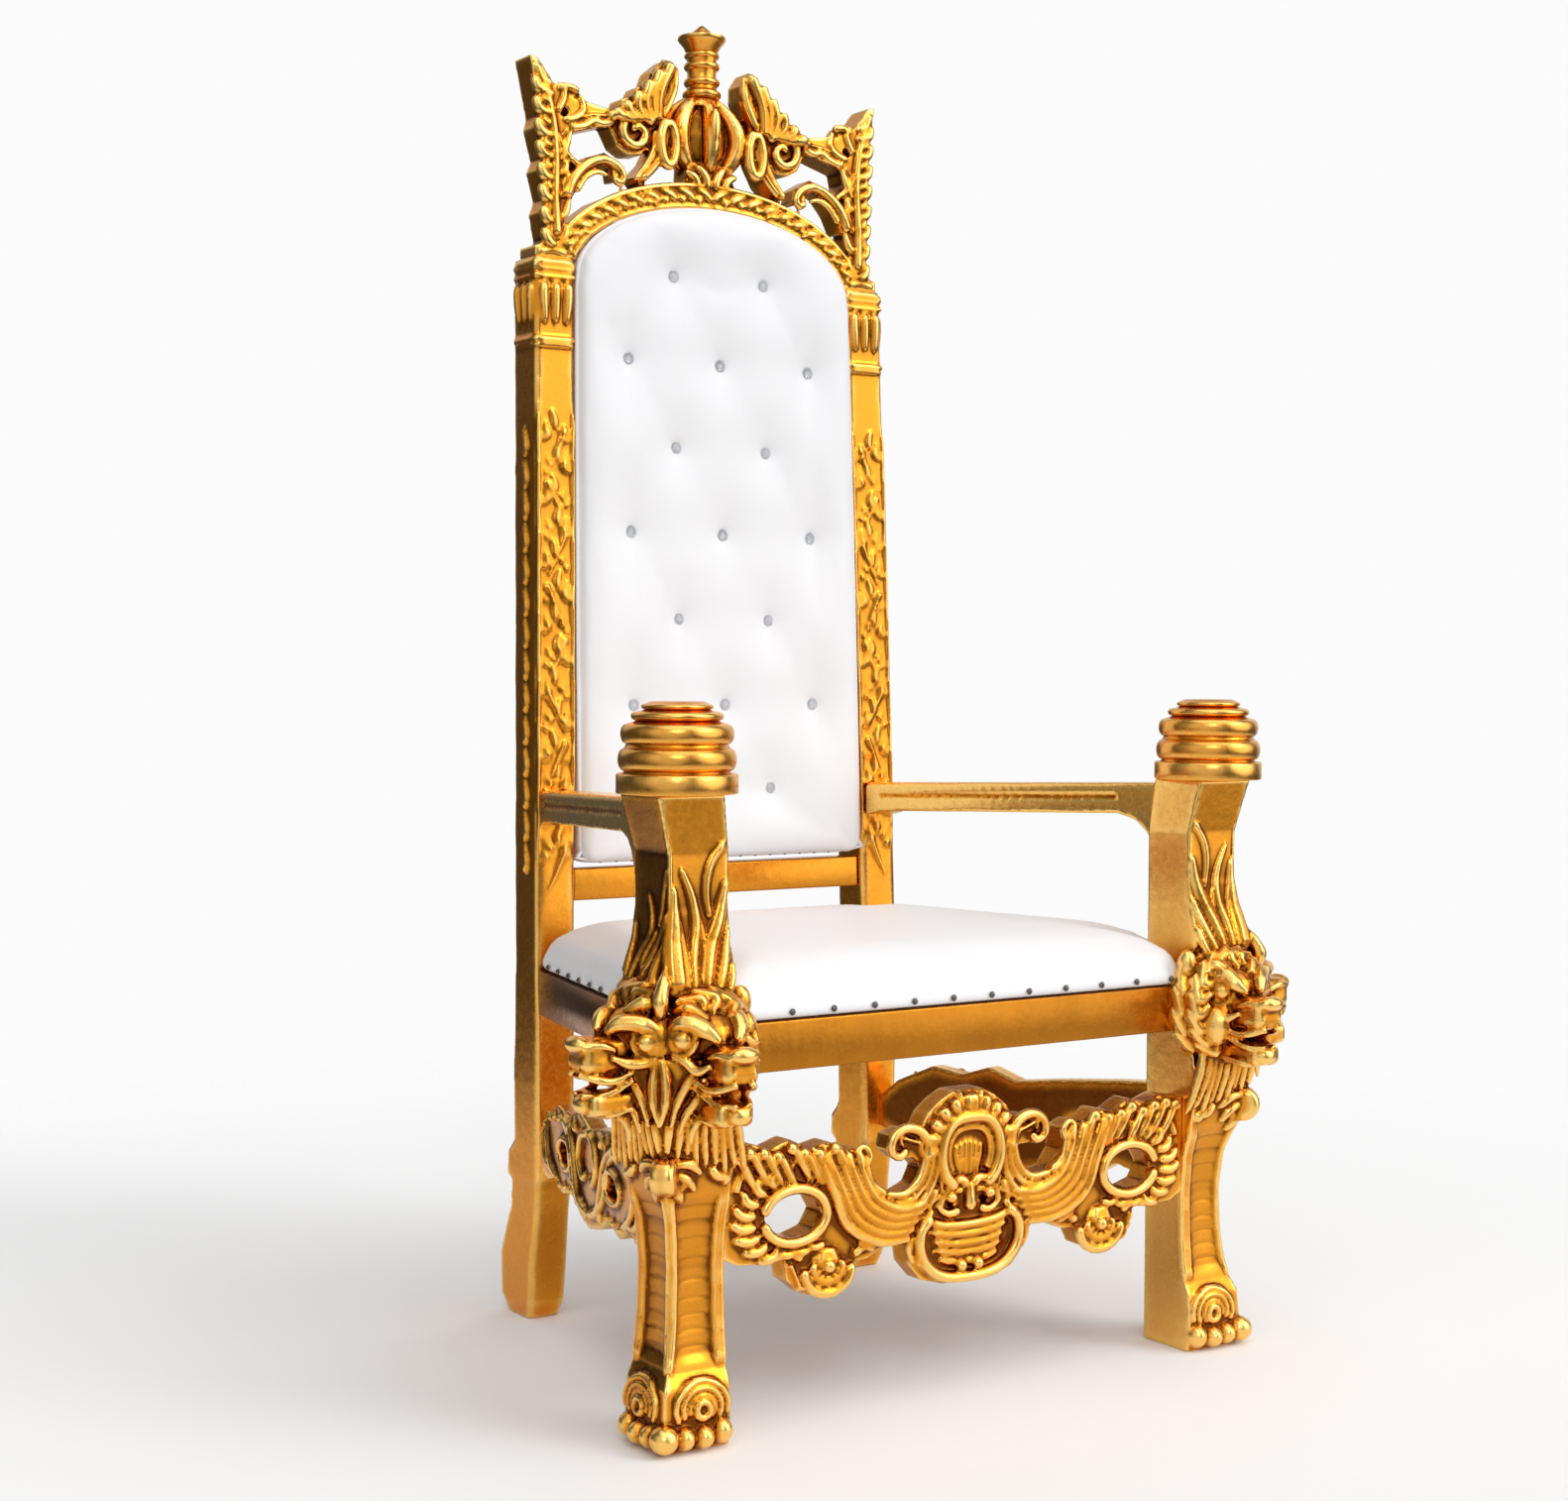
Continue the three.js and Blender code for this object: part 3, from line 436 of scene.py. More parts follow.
def draw_line(curve, points):
    spline = curve.data.splines.new("POLY")
    spline.points.add(len(points) - 1)
    spline.points.foreach_set("co", [value for point in points for value in (*point, 1.0)])
    return spline


def as_mesh(curve):
    pick_up(curve)
    bpy.ops.object.convert(target="MESH")
    return bpy.context.object


def add_strokes(name, strokes, roundness=2):
    """Makes one mesh of many strokes, each a closed tube that narrows as its radii say."""
    obj = fresh_curve(name)
    obj.data.dimensions = "3D"
    obj.data.bevel_depth = 1.0
    obj.data.bevel_resolution = roundness
    obj.data.use_fill_caps = True
    for points, radii in strokes:
        draw_line(obj, points).points.foreach_set("radius", radii)
    return as_mesh(obj)


class Rows(list):
    """Strokes still to be laid on a face, as path, width, height, tip, start and swell."""

    def add(self, path, width, height, tip=0.3, start=1.0, swell=0.0):
        self.append((path, width, height, tip, start, swell))


def ball(place, radii, detail=16):
    """A ball or egg at its size and place, both in metres."""
    put_down()
    bpy.ops.mesh.primitive_uv_sphere_add(
        segments=detail, ring_count=detail * 3 // 4, radius=1.0, location=place, scale=radii)
    return bpy.context.object


def block(place, half, soft):
    """A box with well rounded edges, at its half sizes."""
    put_down()
    bpy.ops.mesh.primitive_cube_add(size=2.0, location=place, scale=half)
    obj = bpy.context.object
    bpy.ops.object.transform_apply(location=True, rotation=False, scale=True)
    return finish_with(obj, "BEVEL", width=soft, segments=4, limit_method="NONE")


def arc_path(centre, radius, first, last, points=7, stretch=1.0):
    """Points on an arc, with its angles in degrees. stretch makes it taller."""
    turns = [math.radians(first + (last - first) * i / (points - 1)) for i in range(points)]
    return [(centre[0] + radius * math.cos(t), centre[1] + stretch * radius * math.sin(t))
            for t in turns]


def curl_path(centre, radius, first, turns, points=12, ends=0.2):
    """A scroll that winds inward. Positive turns go counter-clockwise."""
    path = []
    for i in range(points):
        t = i / (points - 1)
        reach = radius * (1 - (1 - ends) * t)
        angle = math.radians(first + 360 * turns * t)
        path.append((centre[0] + reach * math.cos(angle), centre[1] + reach * math.sin(angle)))
    return path


def fan(first, last, count):
    """Paths spread evenly from the first to the last, point by point."""
    shares = [i / (count - 1) for i in range(count)]
    return [[(a + (c - a) * t, b + (d - b) * t) for (a, b), (c, d) in zip(first, last)]
            for t in shares]


def both(paths):
    """The paths and their mirror images."""
    return [(path, *rest) for path, *rest in paths] + [
        ([(-x, z) for x, z in path], *rest) for path, *rest in paths]


# ---- Finishes ----
def feed(tree, made, sockets):
    """Gives each input, by name or number, a value or another node's output."""
    for key, value in sockets.items():
        if isinstance(value, bpy.types.NodeSocket):
            tree.links.new(value, made.inputs[key])
        else:
            made.inputs[key].default_value = value


def node(tree, kind, place, sockets=None, **values):
    made = tree.nodes.new(kind)
    made.location = place
    for key, value in values.items():
        setattr(made, key, value)
    feed(tree, made, sockets or {})
    return made


def noise(tree, place, scale, detail=2.0):
    """Cloudy noise on the object's own coordinates."""
    coords = node(tree, "ShaderNodeTexCoord", (place[0] - 200, place[1]))
    cloud = node(tree, "ShaderNodeTexNoise", place, {
        "Vector": coords.outputs["Object"], "Scale": scale, "Detail": detail})
    return cloud.outputs["Fac"]


def fresh_material(name):
    made = bpy.data.materials.new(name)
    made.use_nodes = True
    tree = made.node_tree
    return made, tree, tree.nodes["Principled BSDF"]


def gilding():
    """Burnished leaf: pale on the raised edges, partly burnish and partly a painted highlight;
    orange on the open work; brown in the hollows, partly glaze and partly painted shade.
    """
    look = settings("gilt")
    made, tree, shader = fresh_material("gilding")
    relief = node(tree, "ShaderNodeAttribute", (-1300, 300), attribute_name="relief")
    edge = node(tree, "ShaderNodeAttribute", (-1300, 100), attribute_name="edge")
    spread = node(tree, "ShaderNodeMapRange", (-1100, 300), {
        "Value": relief.outputs["Fac"], "From Min": -5.0, "From Max": 5.0})
    # fine crests lift the value toward the painted highlight
    sharpen = node(tree, "ShaderNodeMath", (-1100, 80), {
        0: edge.outputs["Fac"], 1: 0.30, 2: spread.outputs["Result"]}, operation="MULTIPLY_ADD")
    uneven = node(tree, "ShaderNodeMath", (-900, 80), {
        0: noise(tree, (-1100, -150), 14.0, 4.0), 1: 0.12, 2: sharpen.outputs["Value"]},
        operation="MULTIPLY_ADD")
    tones = node(tree, "ShaderNodeValToRGB", (-700, 200), {"Fac": uneven.outputs["Value"]})
    ramp = tones.color_ramp
    # the dark low stop is partly glaze and partly painted shade; the pale top stop is partly
    # burnish and partly a painted highlight
    ramp.elements[0].position = 0.14
    ramp.elements[0].color = look.hollow
    ramp.elements[1].position = 1.0
    ramp.elements[1].color = look.bright
    for place, share in ((0.42, 0.85), (0.68, 1.0)):
        middle = ramp.elements.new(place)
        middle.color = [part * share for part in look.body[:3]] + [1.0]
    polish = node(tree, "ShaderNodeMapRange", (-700, -150), {
        "Value": noise(tree, (-1100, -420), 120.0, 3.0),
        "To Min": look.roughness - 0.08, "To Max": look.roughness + 0.16})
    bump = node(tree, "ShaderNodeBump", (-400, -350), {
        "Height": noise(tree, (-1100, -650), 55.0), "Strength": 0.35, "Distance": 0.0012})
    feed(tree, shader, {
        "Base Color": tones.outputs["Color"], "Metallic": 1.0,
        "Roughness": polish.outputs["Result"], "Normal": bump.outputs["Normal"]})
    return made


def white_leather():
    """White leatherette with a fine grain and a soft sheen."""
    look = settings("leather")
    made, tree, shader = fresh_material("leather")
    cloud = noise(tree, (-950, 200), 7.0, 3.0)
    coords = node(tree, "ShaderNodeTexCoord", (-1150, -150))
    pebble = node(tree, "ShaderNodeTexVoronoi", (-950, -150), {
        "Vector": coords.outputs["Object"], "Scale": 1 / look.grain})
    shaded = [part * 0.965 for part in look.colour[:3]] + [1.0]
    tint = node(tree, "ShaderNodeMix", (-600, 200), {
        "Factor": cloud, "A": look.colour, "B": shaded}, data_type="RGBA")
    polish = node(tree, "ShaderNodeMapRange", (-600, -50), {
        "Value": cloud, "To Min": 0.38, "To Max": 0.52})
    bump = node(tree, "ShaderNodeBump", (-400, -250), {
        "Height": pebble.outputs["Distance"], "Strength": 0.25, "Distance": 0.0003})
    feed(tree, shader, {
        "Base Color": tint.outputs["Result"], "Roughness": polish.outputs["Result"],
        "Normal": bump.outputs["Normal"]})
    return made


def two_tones(name, scale, first, second, sockets):
    """A plain finish whose two tones drift into each other."""
    made, tree, shader = fresh_material(name)
    tint = node(tree, "ShaderNodeMix", (-400, 100), {
        "Factor": noise(tree, (-700, 0), scale), "A": first, "B": second}, data_type="RGBA")
    feed(tree, shader, {"Base Color": tint.outputs["Result"], **sockets})
    return made


def crystal():
    """Clear cut glass with a faint cool tint."""
    return two_tones("cut_glass", 90.0, (0.96, 0.98, 1.0, 1.0), (0.80, 0.84, 0.90, 1.0),
                     {"Roughness": 0.02, "Transmission Weight": 1.0, "IOR": 1.6})


def dark_nail():
    """Dull dark nickel, worn brighter in places."""
    return two_tones("nickel", 400.0, (0.05, 0.045, 0.05, 1.0), (0.22, 0.19, 0.16, 1.0),
                     {"Metallic": 1.0, "Roughness": 0.3})


FINISHES = {"gilding": gilding, "leather": white_leather, "cut_glass": crystal, "nickel": dark_nail}


def paint(obj, name):
    obj.data.materials.clear()
    obj.data.materials.append(bpy.data.materials.get(name) or FINISHES[name]())


# ---- Faces to carve on: each turns two millimetre places and a height into metres ----
def lean_back(z):
    return max(0.0, z - LEAN_START) * LEAN


def crest_face(x, z, proud):
    return (x * MM, crest_front + (4 - proud) * MM + lean_back(z * MM), z * MM)


def apron_face(x, z, proud):
    return (x * MM, apron_front - proud * MM, z * MM)


# The front post's section is a square that grows outward and forward from a fixed inner corner.
SPLAY_START = 690
SPLAY = 11
CAP_BOTTOM = 759
# height and side of the square, in millimetres
POST_STATIONS = [
    (0, 86), (20, 90), (44, 90), (74, 88), (92, 80), (110, 76), (150, 72), (210, 70), (262, 75),
    (300, 88), (330, 95), (352, 97), (400, 104), (528, 104), (552, 97), (590, 84), (630, 79),
    (690, 80), (758, 89),
]


def post_side(z):
    """Side of the square at one height or at many."""
    heights, sides = zip(*POST_STATIONS)
    return np.interp(z, heights, sides)


def post_point(a, b, z):
    """a is outward and b forward of the inner corner, on the right-hand post."""
    shift = SPLAY * max(0.0, (z - SPLAY_START) / (CAP_BOTTOM - SPLAY_START))
    return (corner_x + (a + shift) * MM, corner_y - b * MM, z * MM)


def outer_face(p, z, proud):
    return post_point(post_side(z) + proud, p, z)


def forward_face(p, z, proud):
    return post_point(p, post_side(z) + proud, z)


OUTER_AXIS, FORWARD_AXIS = 57, 46  # from the inner corner to the middle of each head
FORWARD_DROP = 7


def outer_head(u, v, w):
    return post_point(u, OUTER_AXIS + v, w)


def forward_head(u, v, w):
    return post_point(FORWARD_AXIS + v, u, w - FORWARD_DROP)


# the eye next to the shared corner and the eye on the inner side, outward, sideways and up
EYES = {
    outer_head: ((117, 39, 481), (125, -27, 486)),
    forward_head: ((122, 40, 492), (125, -27, 492)),
}
COVERED = (380, 540)  # the heads cover the post between these heights
COVERED_SIDE = 90


# ---- Front posts ----
def post_core():
    """The sawn post: a square drawn upward, growing and shrinking about its inner corner."""
    put_down()
    height, side = POST_STATIONS[0]
    half = side * MM / 2
    bpy.ops.mesh.primitive_plane_add(size=side * MM, location=(corner_x + half, corner_y - half, 0))
    obj = bpy.context.object
    bpy.ops.object.transform_apply(location=True, rotation=False, scale=False)
    open_mesh()
    corner = Vector((corner_x, corner_y, 0))
    for z, wide in POST_STATIONS[1:]:
        if COVERED[0] < z < COVERED[1]:
            wide = COVERED_SIDE
        step = Vector(post_point(0, 0, z)) - Vector(post_point(0, 0, height))
        bpy.ops.mesh.extrude_region_move(TRANSFORM_OT_translate={"value": step})
        corner += step
        grow = wide / side
        bpy.ops.transform.resize(value=(grow, grow, 1), center_override=corner)
        side, height = wide, z
    close_mesh()
    return obj


def head_reach(head, place, half):
    """Centre and half sizes, in metres, of a form given on a lion's head in millimetres."""
    centre = Vector(head(*place))
    far = Vector(head(*[p + h for p, h in zip(place, half)]))
    return centre, [abs(value) for value in far - centre]


def lion_forms(head):
    """The rounded masses of one lion's head."""
    forms = [
        ((82, 0, 474), (50, 48, 60)),     # skull
        ((112, 0, 490), (34, 38, 30)),    # forehead
        ((188, 0, 479), (11, 19, 10)),    # nose
        ((178, 0, 410), (12, 16, 12)),    # chin
        ((100, 0, 420), (36, 26, 30)),    # throat
        ((90, -56, 524), (13, 14, 20)),   # ear on the inner side
        ((112, -32, 446), (32, 22, 30)),  # cheek on the inner side
    ]
    for side, eye in zip((1, -1), EYES[head]):
        forms += [
            (eye, (15, 14, 14)),
            ((eye[0] - 12, eye[1] - 4 * side, eye[2] + 2), (23, 21, 28)),  # socket
            ((166, 14 * side, 458), (24, 10, 15)),  # upper lip
        ]
    parts = [ball(*head_reach(head, place, radii)) for place, radii in forms]
    for place, half in (((147, 0, 465), (42, 23, 21)), ((134, 3, 410), (46, 23, 13))):
        centre, size = head_reach(head, place, half)
        parts.append(block(centre, size, min(size) * 0.55))
    return parts


def shared_cheek():
    """The cheek that both lions share at the outer corner, narrowing downward."""
    put_down()
    bpy.ops.mesh.primitive_cone_add(
        vertices=8, radius1=30 * MM, radius2=60 * MM, depth=74 * MM,
        location=post_point(97, 95, 425), rotation=(0, 0, math.radians(45)), scale=(1, 0.32, 1))
    obj = bpy.context.object
    bpy.ops.object.transform_apply(location=True, rotation=True, scale=True)
    return finish_with(obj, "BEVEL", width=0.008, segments=3, limit_method="NONE")


def strand(place, path, widths, steps=5):
    """A cord through places in space, with its widths in millimetres along the way."""
    line = smooth_path(path, steps)
    shares = np.linspace(0, len(widths) - 1, len(line))
    radii = 0.5 * MM * np.interp(shares, range(len(widths)), widths)
    return [place(*p) for p in line], [float(r) for r in radii]


def lion_strokes(head):
    """Lids, brows, lips and the locks of the mane, as places outward, sideways and up."""
    strokes = []
    for side, (eye_out, eye_side, eye_up) in zip((1, -1), EYES[head]):
        ring = []
        for turn in range(0, 361, 30):
            t = math.radians(turn)
            ring.append((eye_out - 1 + 16 * math.cos(t), eye_side + side * (3 - 11 * math.cos(t)),
                         eye_up + 18 * math.sin(t)))
        strokes.append(strand(head, ring, (9, 9, 9), 2))
        for path, widths in (
                # brow and forehead
                ([(156, 12 * side, 490), (144, 22 * side, 502),
                  (eye_out + 3, eye_side, eye_up + 19),
                  (eye_out - 16, eye_side + 13 * side, eye_up + 4)], (9, 21, 25, 10)),
                ([(134, 16 * side, 512), (118, 32 * side, 524),
                  (100, 44 * side, 520)], (12, 19, 8)),
                # upper and lower lip
                ([(190, 10 * side, 446), (170, 23 * side, 439), (150, 27 * side, 438),
                  (132, 33 * side, 447)], (8, 10, 9, 5)),
                ([(186, 8 * side, 421), (166, 20 * side, 421), (148, 25 * side, 427),
                  (132, 33 * side, 438)], (8, 9, 8, 5)),
                # folds of the jaw, the nose and the cheek
                ([(178, 8 * side, 400), (156, 20 * side, 399), (130, 29 * side, 405)], (7, 11, 5)),
                ([(188, 15 * side, 476), (168, 23 * side, 478), (150, 25 * side, 472)], (10, 9, 5)),
                ([(eye_out - 8, eye_side + 11 * side, eye_up - 18),
                  (eye_out + 4, eye_side, eye_up - 24), (138, 31 * side, 457),
                  (156, 25 * side, 464)], (8, 14, 14, 6))):
            strokes.append(strand(head, path, widths))
    # rows of the mane: outward and reach at the root, the same at the tip, width and angles
    rows = ((122, 50, 98, 74, 20, range(66, 236, 18)), (102, 60, 76, 80, 23, range(72, 216, 20)),
            (80, 62, 54, 66, 22, range(84, 140, 22)))
    for near, inner, far, outer, wide, angles in rows:
        for angle in angles:
            path = []
            for t in (0.0, 0.33, 0.67, 1.0):
                reach = inner + (outer - inner) * t + 7 * math.sin(math.pi * t)
                turn = math.radians(angle + 13 * math.sin(2.2 * math.pi * t) + 8 * t)
                path.append((near + (far - near) * t, reach * math.cos(turn) * 0.92,
                             468 + 1.02 * reach * math.sin(turn)))
            strokes.append(strand(head, path, (wide * 0.5, wide, wide * 0.9, wide * 0.25), 4))
    return strokes


def support_strokes(face):
    """Leaves that climb to the arm: blades in front, slim veins on the outer side."""
    if face is forward_face:
        blades = [
            ([(74, 656), (74, 606), (78, 564), (80, 528)], 30, 9, 1.0, 0.15),
            ([(66, 676), (50, 640), (46, 606), (56, 566), (60, 530)], 20, 8, 0.7, 0.25),
            ([(3, 662), (14, 616), (32, 574), (46, 530)], 36, 10, 0.6, 0.2),
            ([(2, 606), (16, 560), (32, 526)], 24, 9, 0.6, 0.25),
            ([(5, 704), (25, 678), (31, 648), (26, 614)], 20, 7, 0.3, 0.4),
            ([(3, 566), (8, 544), (16, 528)], 16, 7, 0.6, 0.4),
            ([(68, 620), (66, 580), (70, 532)], 14, 7, 0.8, 0.3),
            ([(40, 618), (38, 584), (48, 550)], 12, 6, 0.5, 0.4),
        ]
    else:
        blades = [
            ([(77, 676), (69, 642), (63, 604)], 10, 6, 0.4, 0.4),
            ([(34, 646), (47, 604), (30, 564), (22, 536)], 12, 6, 0.5, 0.4),
            ([(9, 612), (13, 566), (20, 526)], 11, 6, 0.6, 0.4),
            ([(60, 604), (45, 568), (53, 548), (38, 524)], 11, 6, 0.6, 0.4),
            ([(80, 628), (66, 580), (50, 552)], 11, 7, 0.6, 0.4),
            ([(80, 590), (74, 556), (78, 528)], 18, 7, 0.9, 0.3),
        ]
    return [ridge(face, path, wide, high, tip=tip, start=start, swell=0.25)
            for path, wide, high, tip, start in blades]


def leg_strokes(face):
    """Flat borders of the hollow leg, the beard fringe and the rings of the paw."""
    rows = Rows()
    for inset, wide in ((3, 10), (8, 10), (12, 8)):
        rows.add([(inset, z) for z in (92, 150, 220, 300)], wide, 4, 1.0)
    rows.add([(77, 90), (70, 122), (66, 160), (65, 210), (69, 258), (80, 300)], 9, 3, 1.0)
    # the fringe hangs lower toward the outer corner
    for i in range(9):
        p = 3 + 11.2 * i
        drop = 318 + 34 * (p / 92) ** 2 + 7 * math.sin(2.3 * i)
        away = (p - 92) * 0.2
        rows.add([(p, 410), (p + away * 0.1 + 2 * math.sin(1.7 * i), 374), (p + away, drop)],
                 12, 10, 0.25, 0.6, 0.5)
    for path in ([(84, 338), (62, 336), (44, 322)], [(82, 326), (64, 318), (50, 302)],
                 [(84, 314), (74, 302), (64, 288)], [(34, 330), (22, 318), (6, 316)]):
        rows.add(path, 13, 9, 0.3, 0.6, 0.5)
    for reach, wide, last in ((35, 8, 200), (26, 8, 215), (17, 7, 235)):
        rows.add(arc_path((40, 50), reach, -28, last, 11, 0.86), wide, 8, 0.7, 0.7)
    rows.add(arc_path((40, 48), 9, 0, 360, 9), 6, 9, 1.0)
    return [ridge(face, *row) for row in rows]


def hollow_legs(obj):
    """Scoops a channel down both outer faces of the leg, with the marks of a wide gouge."""
    low, high, fade = 98, 298, 14  # where the channel ends, and how softly
    border, skin = 12, 9
    dish_depth, mark_depth, mark_pitch = 3.4, 0.5, 21
    points = read_points(obj)
    z = points[:, 2] / MM
    outward = (points[:, 0] - corner_x) / MM
    forward = (corner_y - points[:, 1]) / MM
    side = post_side(z)
    ends = np.clip((z - low) / fade, 0, 1) * np.clip((high - z) / fade, 0, 1)
    for along, away, axis, sign in ((outward, forward, 1, 1), (forward, outward, 0, -1)):
        middle = (side + border) / 2 - 2
        half = side / 2 - border
        dish = np.clip(1 - ((along - middle) / half) ** 2, 0, 1) ** 0.6
        swing = z + 4 * np.sin(z / 23) - 5 * dish
        marks = mark_depth * np.maximum(0, np.sin(swing * 2 * math.pi / mark_pitch)) ** 4
        near = np.clip((away - (side - skin)) / 4, 0, 1)
        points[:, axis] += sign * (dish_depth * dish + marks * dish) * ends * near * MM
    write_points(obj, points)


# along, up and half sizes on a face: the swollen paw, its toes and the beads at the knee
PAW_FORMS = (
    (40, 48, (42, 5, 38)), (13, 20, (14, 18, 16)), (39, 17, (14, 22, 15)), (64, 18, (13, 20, 15)),
    (10, 314, (8, 9, 9)), (70, 312, (8, 9, 9)),
)


def paw_forms(face):
    forms = []
    for p, z, radii in PAW_FORMS:
        centre = Vector(face(p, z, -2))
        wide = Vector(face(p + radii[0], z, -2 + radii[1])) - centre
        forms.append(ball(centre, (abs(wide.x), abs(wide.y), radii[2] * MM)))
    return forms


def corner_strokes():
    """What grows on the outer corner itself: cheek fur, a leaf, beard strands and the arris."""
    strokes = []
    # the cheek's fur falls from each mouth to a soft arris
    for path, widths in (([(2, 462), (5, 440), (5, 412), (0, 384)], (8, 14, 13, 5)),
                         ([(30, 456), (24, 438), (15, 414), (9, 384)], (7, 13, 12, 5)),
                         ([(37, 436), (30, 416), (21, 398), (16, 376)], (6, 12, 11, 4)),
                         ([(40, 412), (33, 396), (27, 384), (25, 366)], (6, 11, 9, 4))):
        for side in (1, -1):
            bend = [(108 - 0.12 * away + side * away, 107 - 0.12 * away - side * away, z)
                    for away, z in path]
            strokes.append(strand(post_point, bend, widths))
    # a leaf above the brows and the strands under the cheek
    for path, widths in (
            ([(104, 102, 508), (106, 104, 526), (98, 98, 546), (90, 90, 562)], (12, 20, 16, 5)),
            ([(98, 98, 412), (97, 97, 384), (93, 93, 352)], (13, 13, 6)),
            ([(101, 88, 412), (99, 87, 384), (94, 84, 350)], (12, 12, 5)),
            ([(88, 101, 412), (87, 99, 384), (84, 94, 350)], (12, 12, 5))):
        strokes.append(strand(post_point, path, widths))
    # the arris of the support
    arris = [(z, post_side(z) - 1.5) for z in (744, 716, 690, 655, 620, 585, 550)]
    strokes.append(([post_point(s, s, z) for z, s in arris],
                    [r * MM for r in (1.2, 2.4, 3.2, 3.4, 3.4, 3.2, 2.4)]))
    return strokes


def knee_scroll():
    """A drum across the outer corner, over the knee."""
    put_down()
    bpy.ops.mesh.primitive_cylinder_add(
        vertices=40, radius=23 * MM, depth=30 * MM, location=post_point(91, 91, 324),
        rotation=(math.pi / 2, 0, math.radians(-45)))
    return finish_with(bpy.context.object, "BEVEL", width=0.009, segments=3, limit_method="ANGLE")


def front_post():
    parts = [post_core()]
    strokes = []
    for head in (outer_head, forward_head):
        parts += lion_forms(head)
        strokes += lion_strokes(head)
    for face in (outer_face, forward_face):
        strokes += support_strokes(face) + leg_strokes(face)
        parts += paw_forms(face)
    corner_toe = ball(post_point(90, 90, 20), (18 * MM, 18 * MM, 17 * MM))
    strokes += corner_strokes()
    parts += [corner_toe, shared_cheek(), knee_scroll(), add_strokes("locks", strokes)]
    post = carve_together(
        "front_post_carved_right", parts, settings("carving").fine * POST_COARSER, 2)
    hollow_legs(post)
    trim(post, 2, low=0.0)
    return post


class THRONE_OT_front_posts(bpy.types.Operator):
    """Carves the two front posts with their lions, leafy supports and paws"""

    bl_idname = "throne.front_posts"
    bl_label = "Front posts"

    def execute(self, context):
        right = front_post()
        mark_relief(right)
        # painted reflection: the faces turned toward the seat are painted paler
        paint_light_and_shade(right, 3.2, turned_inward(right))
        # painted shade: the leaf is painted browner on the outer side of the support, and less so
        # on the leg
        outer = np.clip(2 * read_normals(right)[:, 0] - 0.6, 0, 1)
        z = read_points(right)[:, 2] / MM
        paint_light_and_shade(right, -2.6, outer * np.clip((z - 540) / 40, 0, 1))
        paint_light_and_shade(right, -1.2, outer * np.clip((300 - z) / 40, 0, 1))
        gild_pair(right, "front_post")
        return {"FINISHED"}


# ---- Turned caps and finial ----
def bead(inner, outer, low, high, points=8):
    """Half-round moulding of a turned profile."""
    turns = [math.pi * i / (points - 1) for i in range(points)]
    middle, half = (low + high) / 2, (high - low) / 2
    return [(inner + (outer - inner) * math.sin(t), middle - half * math.cos(t))
            for t in turns]


def turned_piece(name, profile, centre, steps=80):
    """Spins a profile of radius and height, in millimetres, round an upright line."""
    curve = fresh_curve(name)
    draw_line(curve, [(centre[0] + r * MM, centre[1], z * MM) for r, z in profile])
    obj = as_mesh(curve)
    open_mesh()
    bpy.ops.mesh.spin(steps=steps, angle=2 * math.pi, center=(*centre, 0), axis=(0, 0, 1))
    bpy.ops.mesh.select_all(action="SELECT")
    bpy.ops.mesh.remove_doubles(threshold=2e-5)
    close_mesh()
    return obj


def mark_turning(obj, profile):
    """Stores the same relief on a turned piece: high on its beads and low in its grooves."""
    heights = np.arange(profile[0][1], profile[-1][1], 0.5)
    radii = np.interp(heights, [z for _, z in profile], [r for r, _ in profile])
    wide = np.convolve(np.pad(radii, 12, mode="edge"), np.ones(25) / 25, mode="valid")
    z = read_points(obj)[:, 2] / MM
    # the offset of 1.3 paints the whole turning lighter, and the beads and grooves carry a painted
    # highlight and painted shade
    relief = 1.3 + 0.25 * np.interp(z, heights, radii - wide)
    keep_relief(obj, 0.2 * relief, relief)


def cap_profile(foot):
    """A plain collar, two fat rings and two thin ones."""
    return [
        (0, foot), (70, foot), (71, foot + 1.5), (71, foot + 21), (69.5, foot + 23),
        (62, foot + 24), *bead(62, 69, foot + 26, foot + 52), (60, foot + 55),
        *bead(59.5, 66, foot + 57, foot + 80), (51, foot + 82.5),
        *bead(48, 54, foot + 84, foot + 94), (40, foot + 96),
        *bead(38, 42, foot + 97, foot + 103), (34, foot + 105), (31, foot + 106), (0, foot + 106),
    ]


def finial_profile(foot, top):
    """Four rings on a spindle, a flared cup and a point."""
    return [
        (0, foot), (25, foot), *bead(24.5, 28, foot + 1, foot + 11), (22, foot + 14),
        *bead(21.5, 26, foot + 18, foot + 29), (21, foot + 32), (21, foot + 38),
        *bead(21.5, 26, foot + 41, foot + 52), (21.5, foot + 55),
        *bead(22, 25.5, foot + 58, foot + 66), (24, foot + 69), (27, foot + 75),
        (33, foot + 82), (35, foot + 85), (34.5, foot + 88.5),
        (22, foot + 90), (17, foot + 93), (12, foot + 98), (4, top - 2), (0, top),
    ]


class THRONE_OT_turnings(bpy.types.Operator):
    """Turns the two post caps and the finial"""

    bl_idname = "throne.turnings"
    bl_label = "Caps and finial"

    def execute(self, context):
        cap = cap_profile(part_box("cap_right")[0].z / MM)
        finial = finial_profile(*(corner.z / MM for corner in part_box("crown_finial")))
        for name, node_name, profile, steps in (
                ("post_cap_right", "cap_right", cap, 80), ("post_cap_left", "cap_left", cap, 80),
                ("crown_finial_turned", "crown_finial", finial, 64)):
            low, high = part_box(node_name)
            centre = ((low.x + high.x) / 2, (low.y + high.y) / 2)
            piece = turned_piece(name, profile, centre, steps)
            mark_turning(piece, profile)
            gild(piece, node_name, angle=50)
        return {"FINISHED"}


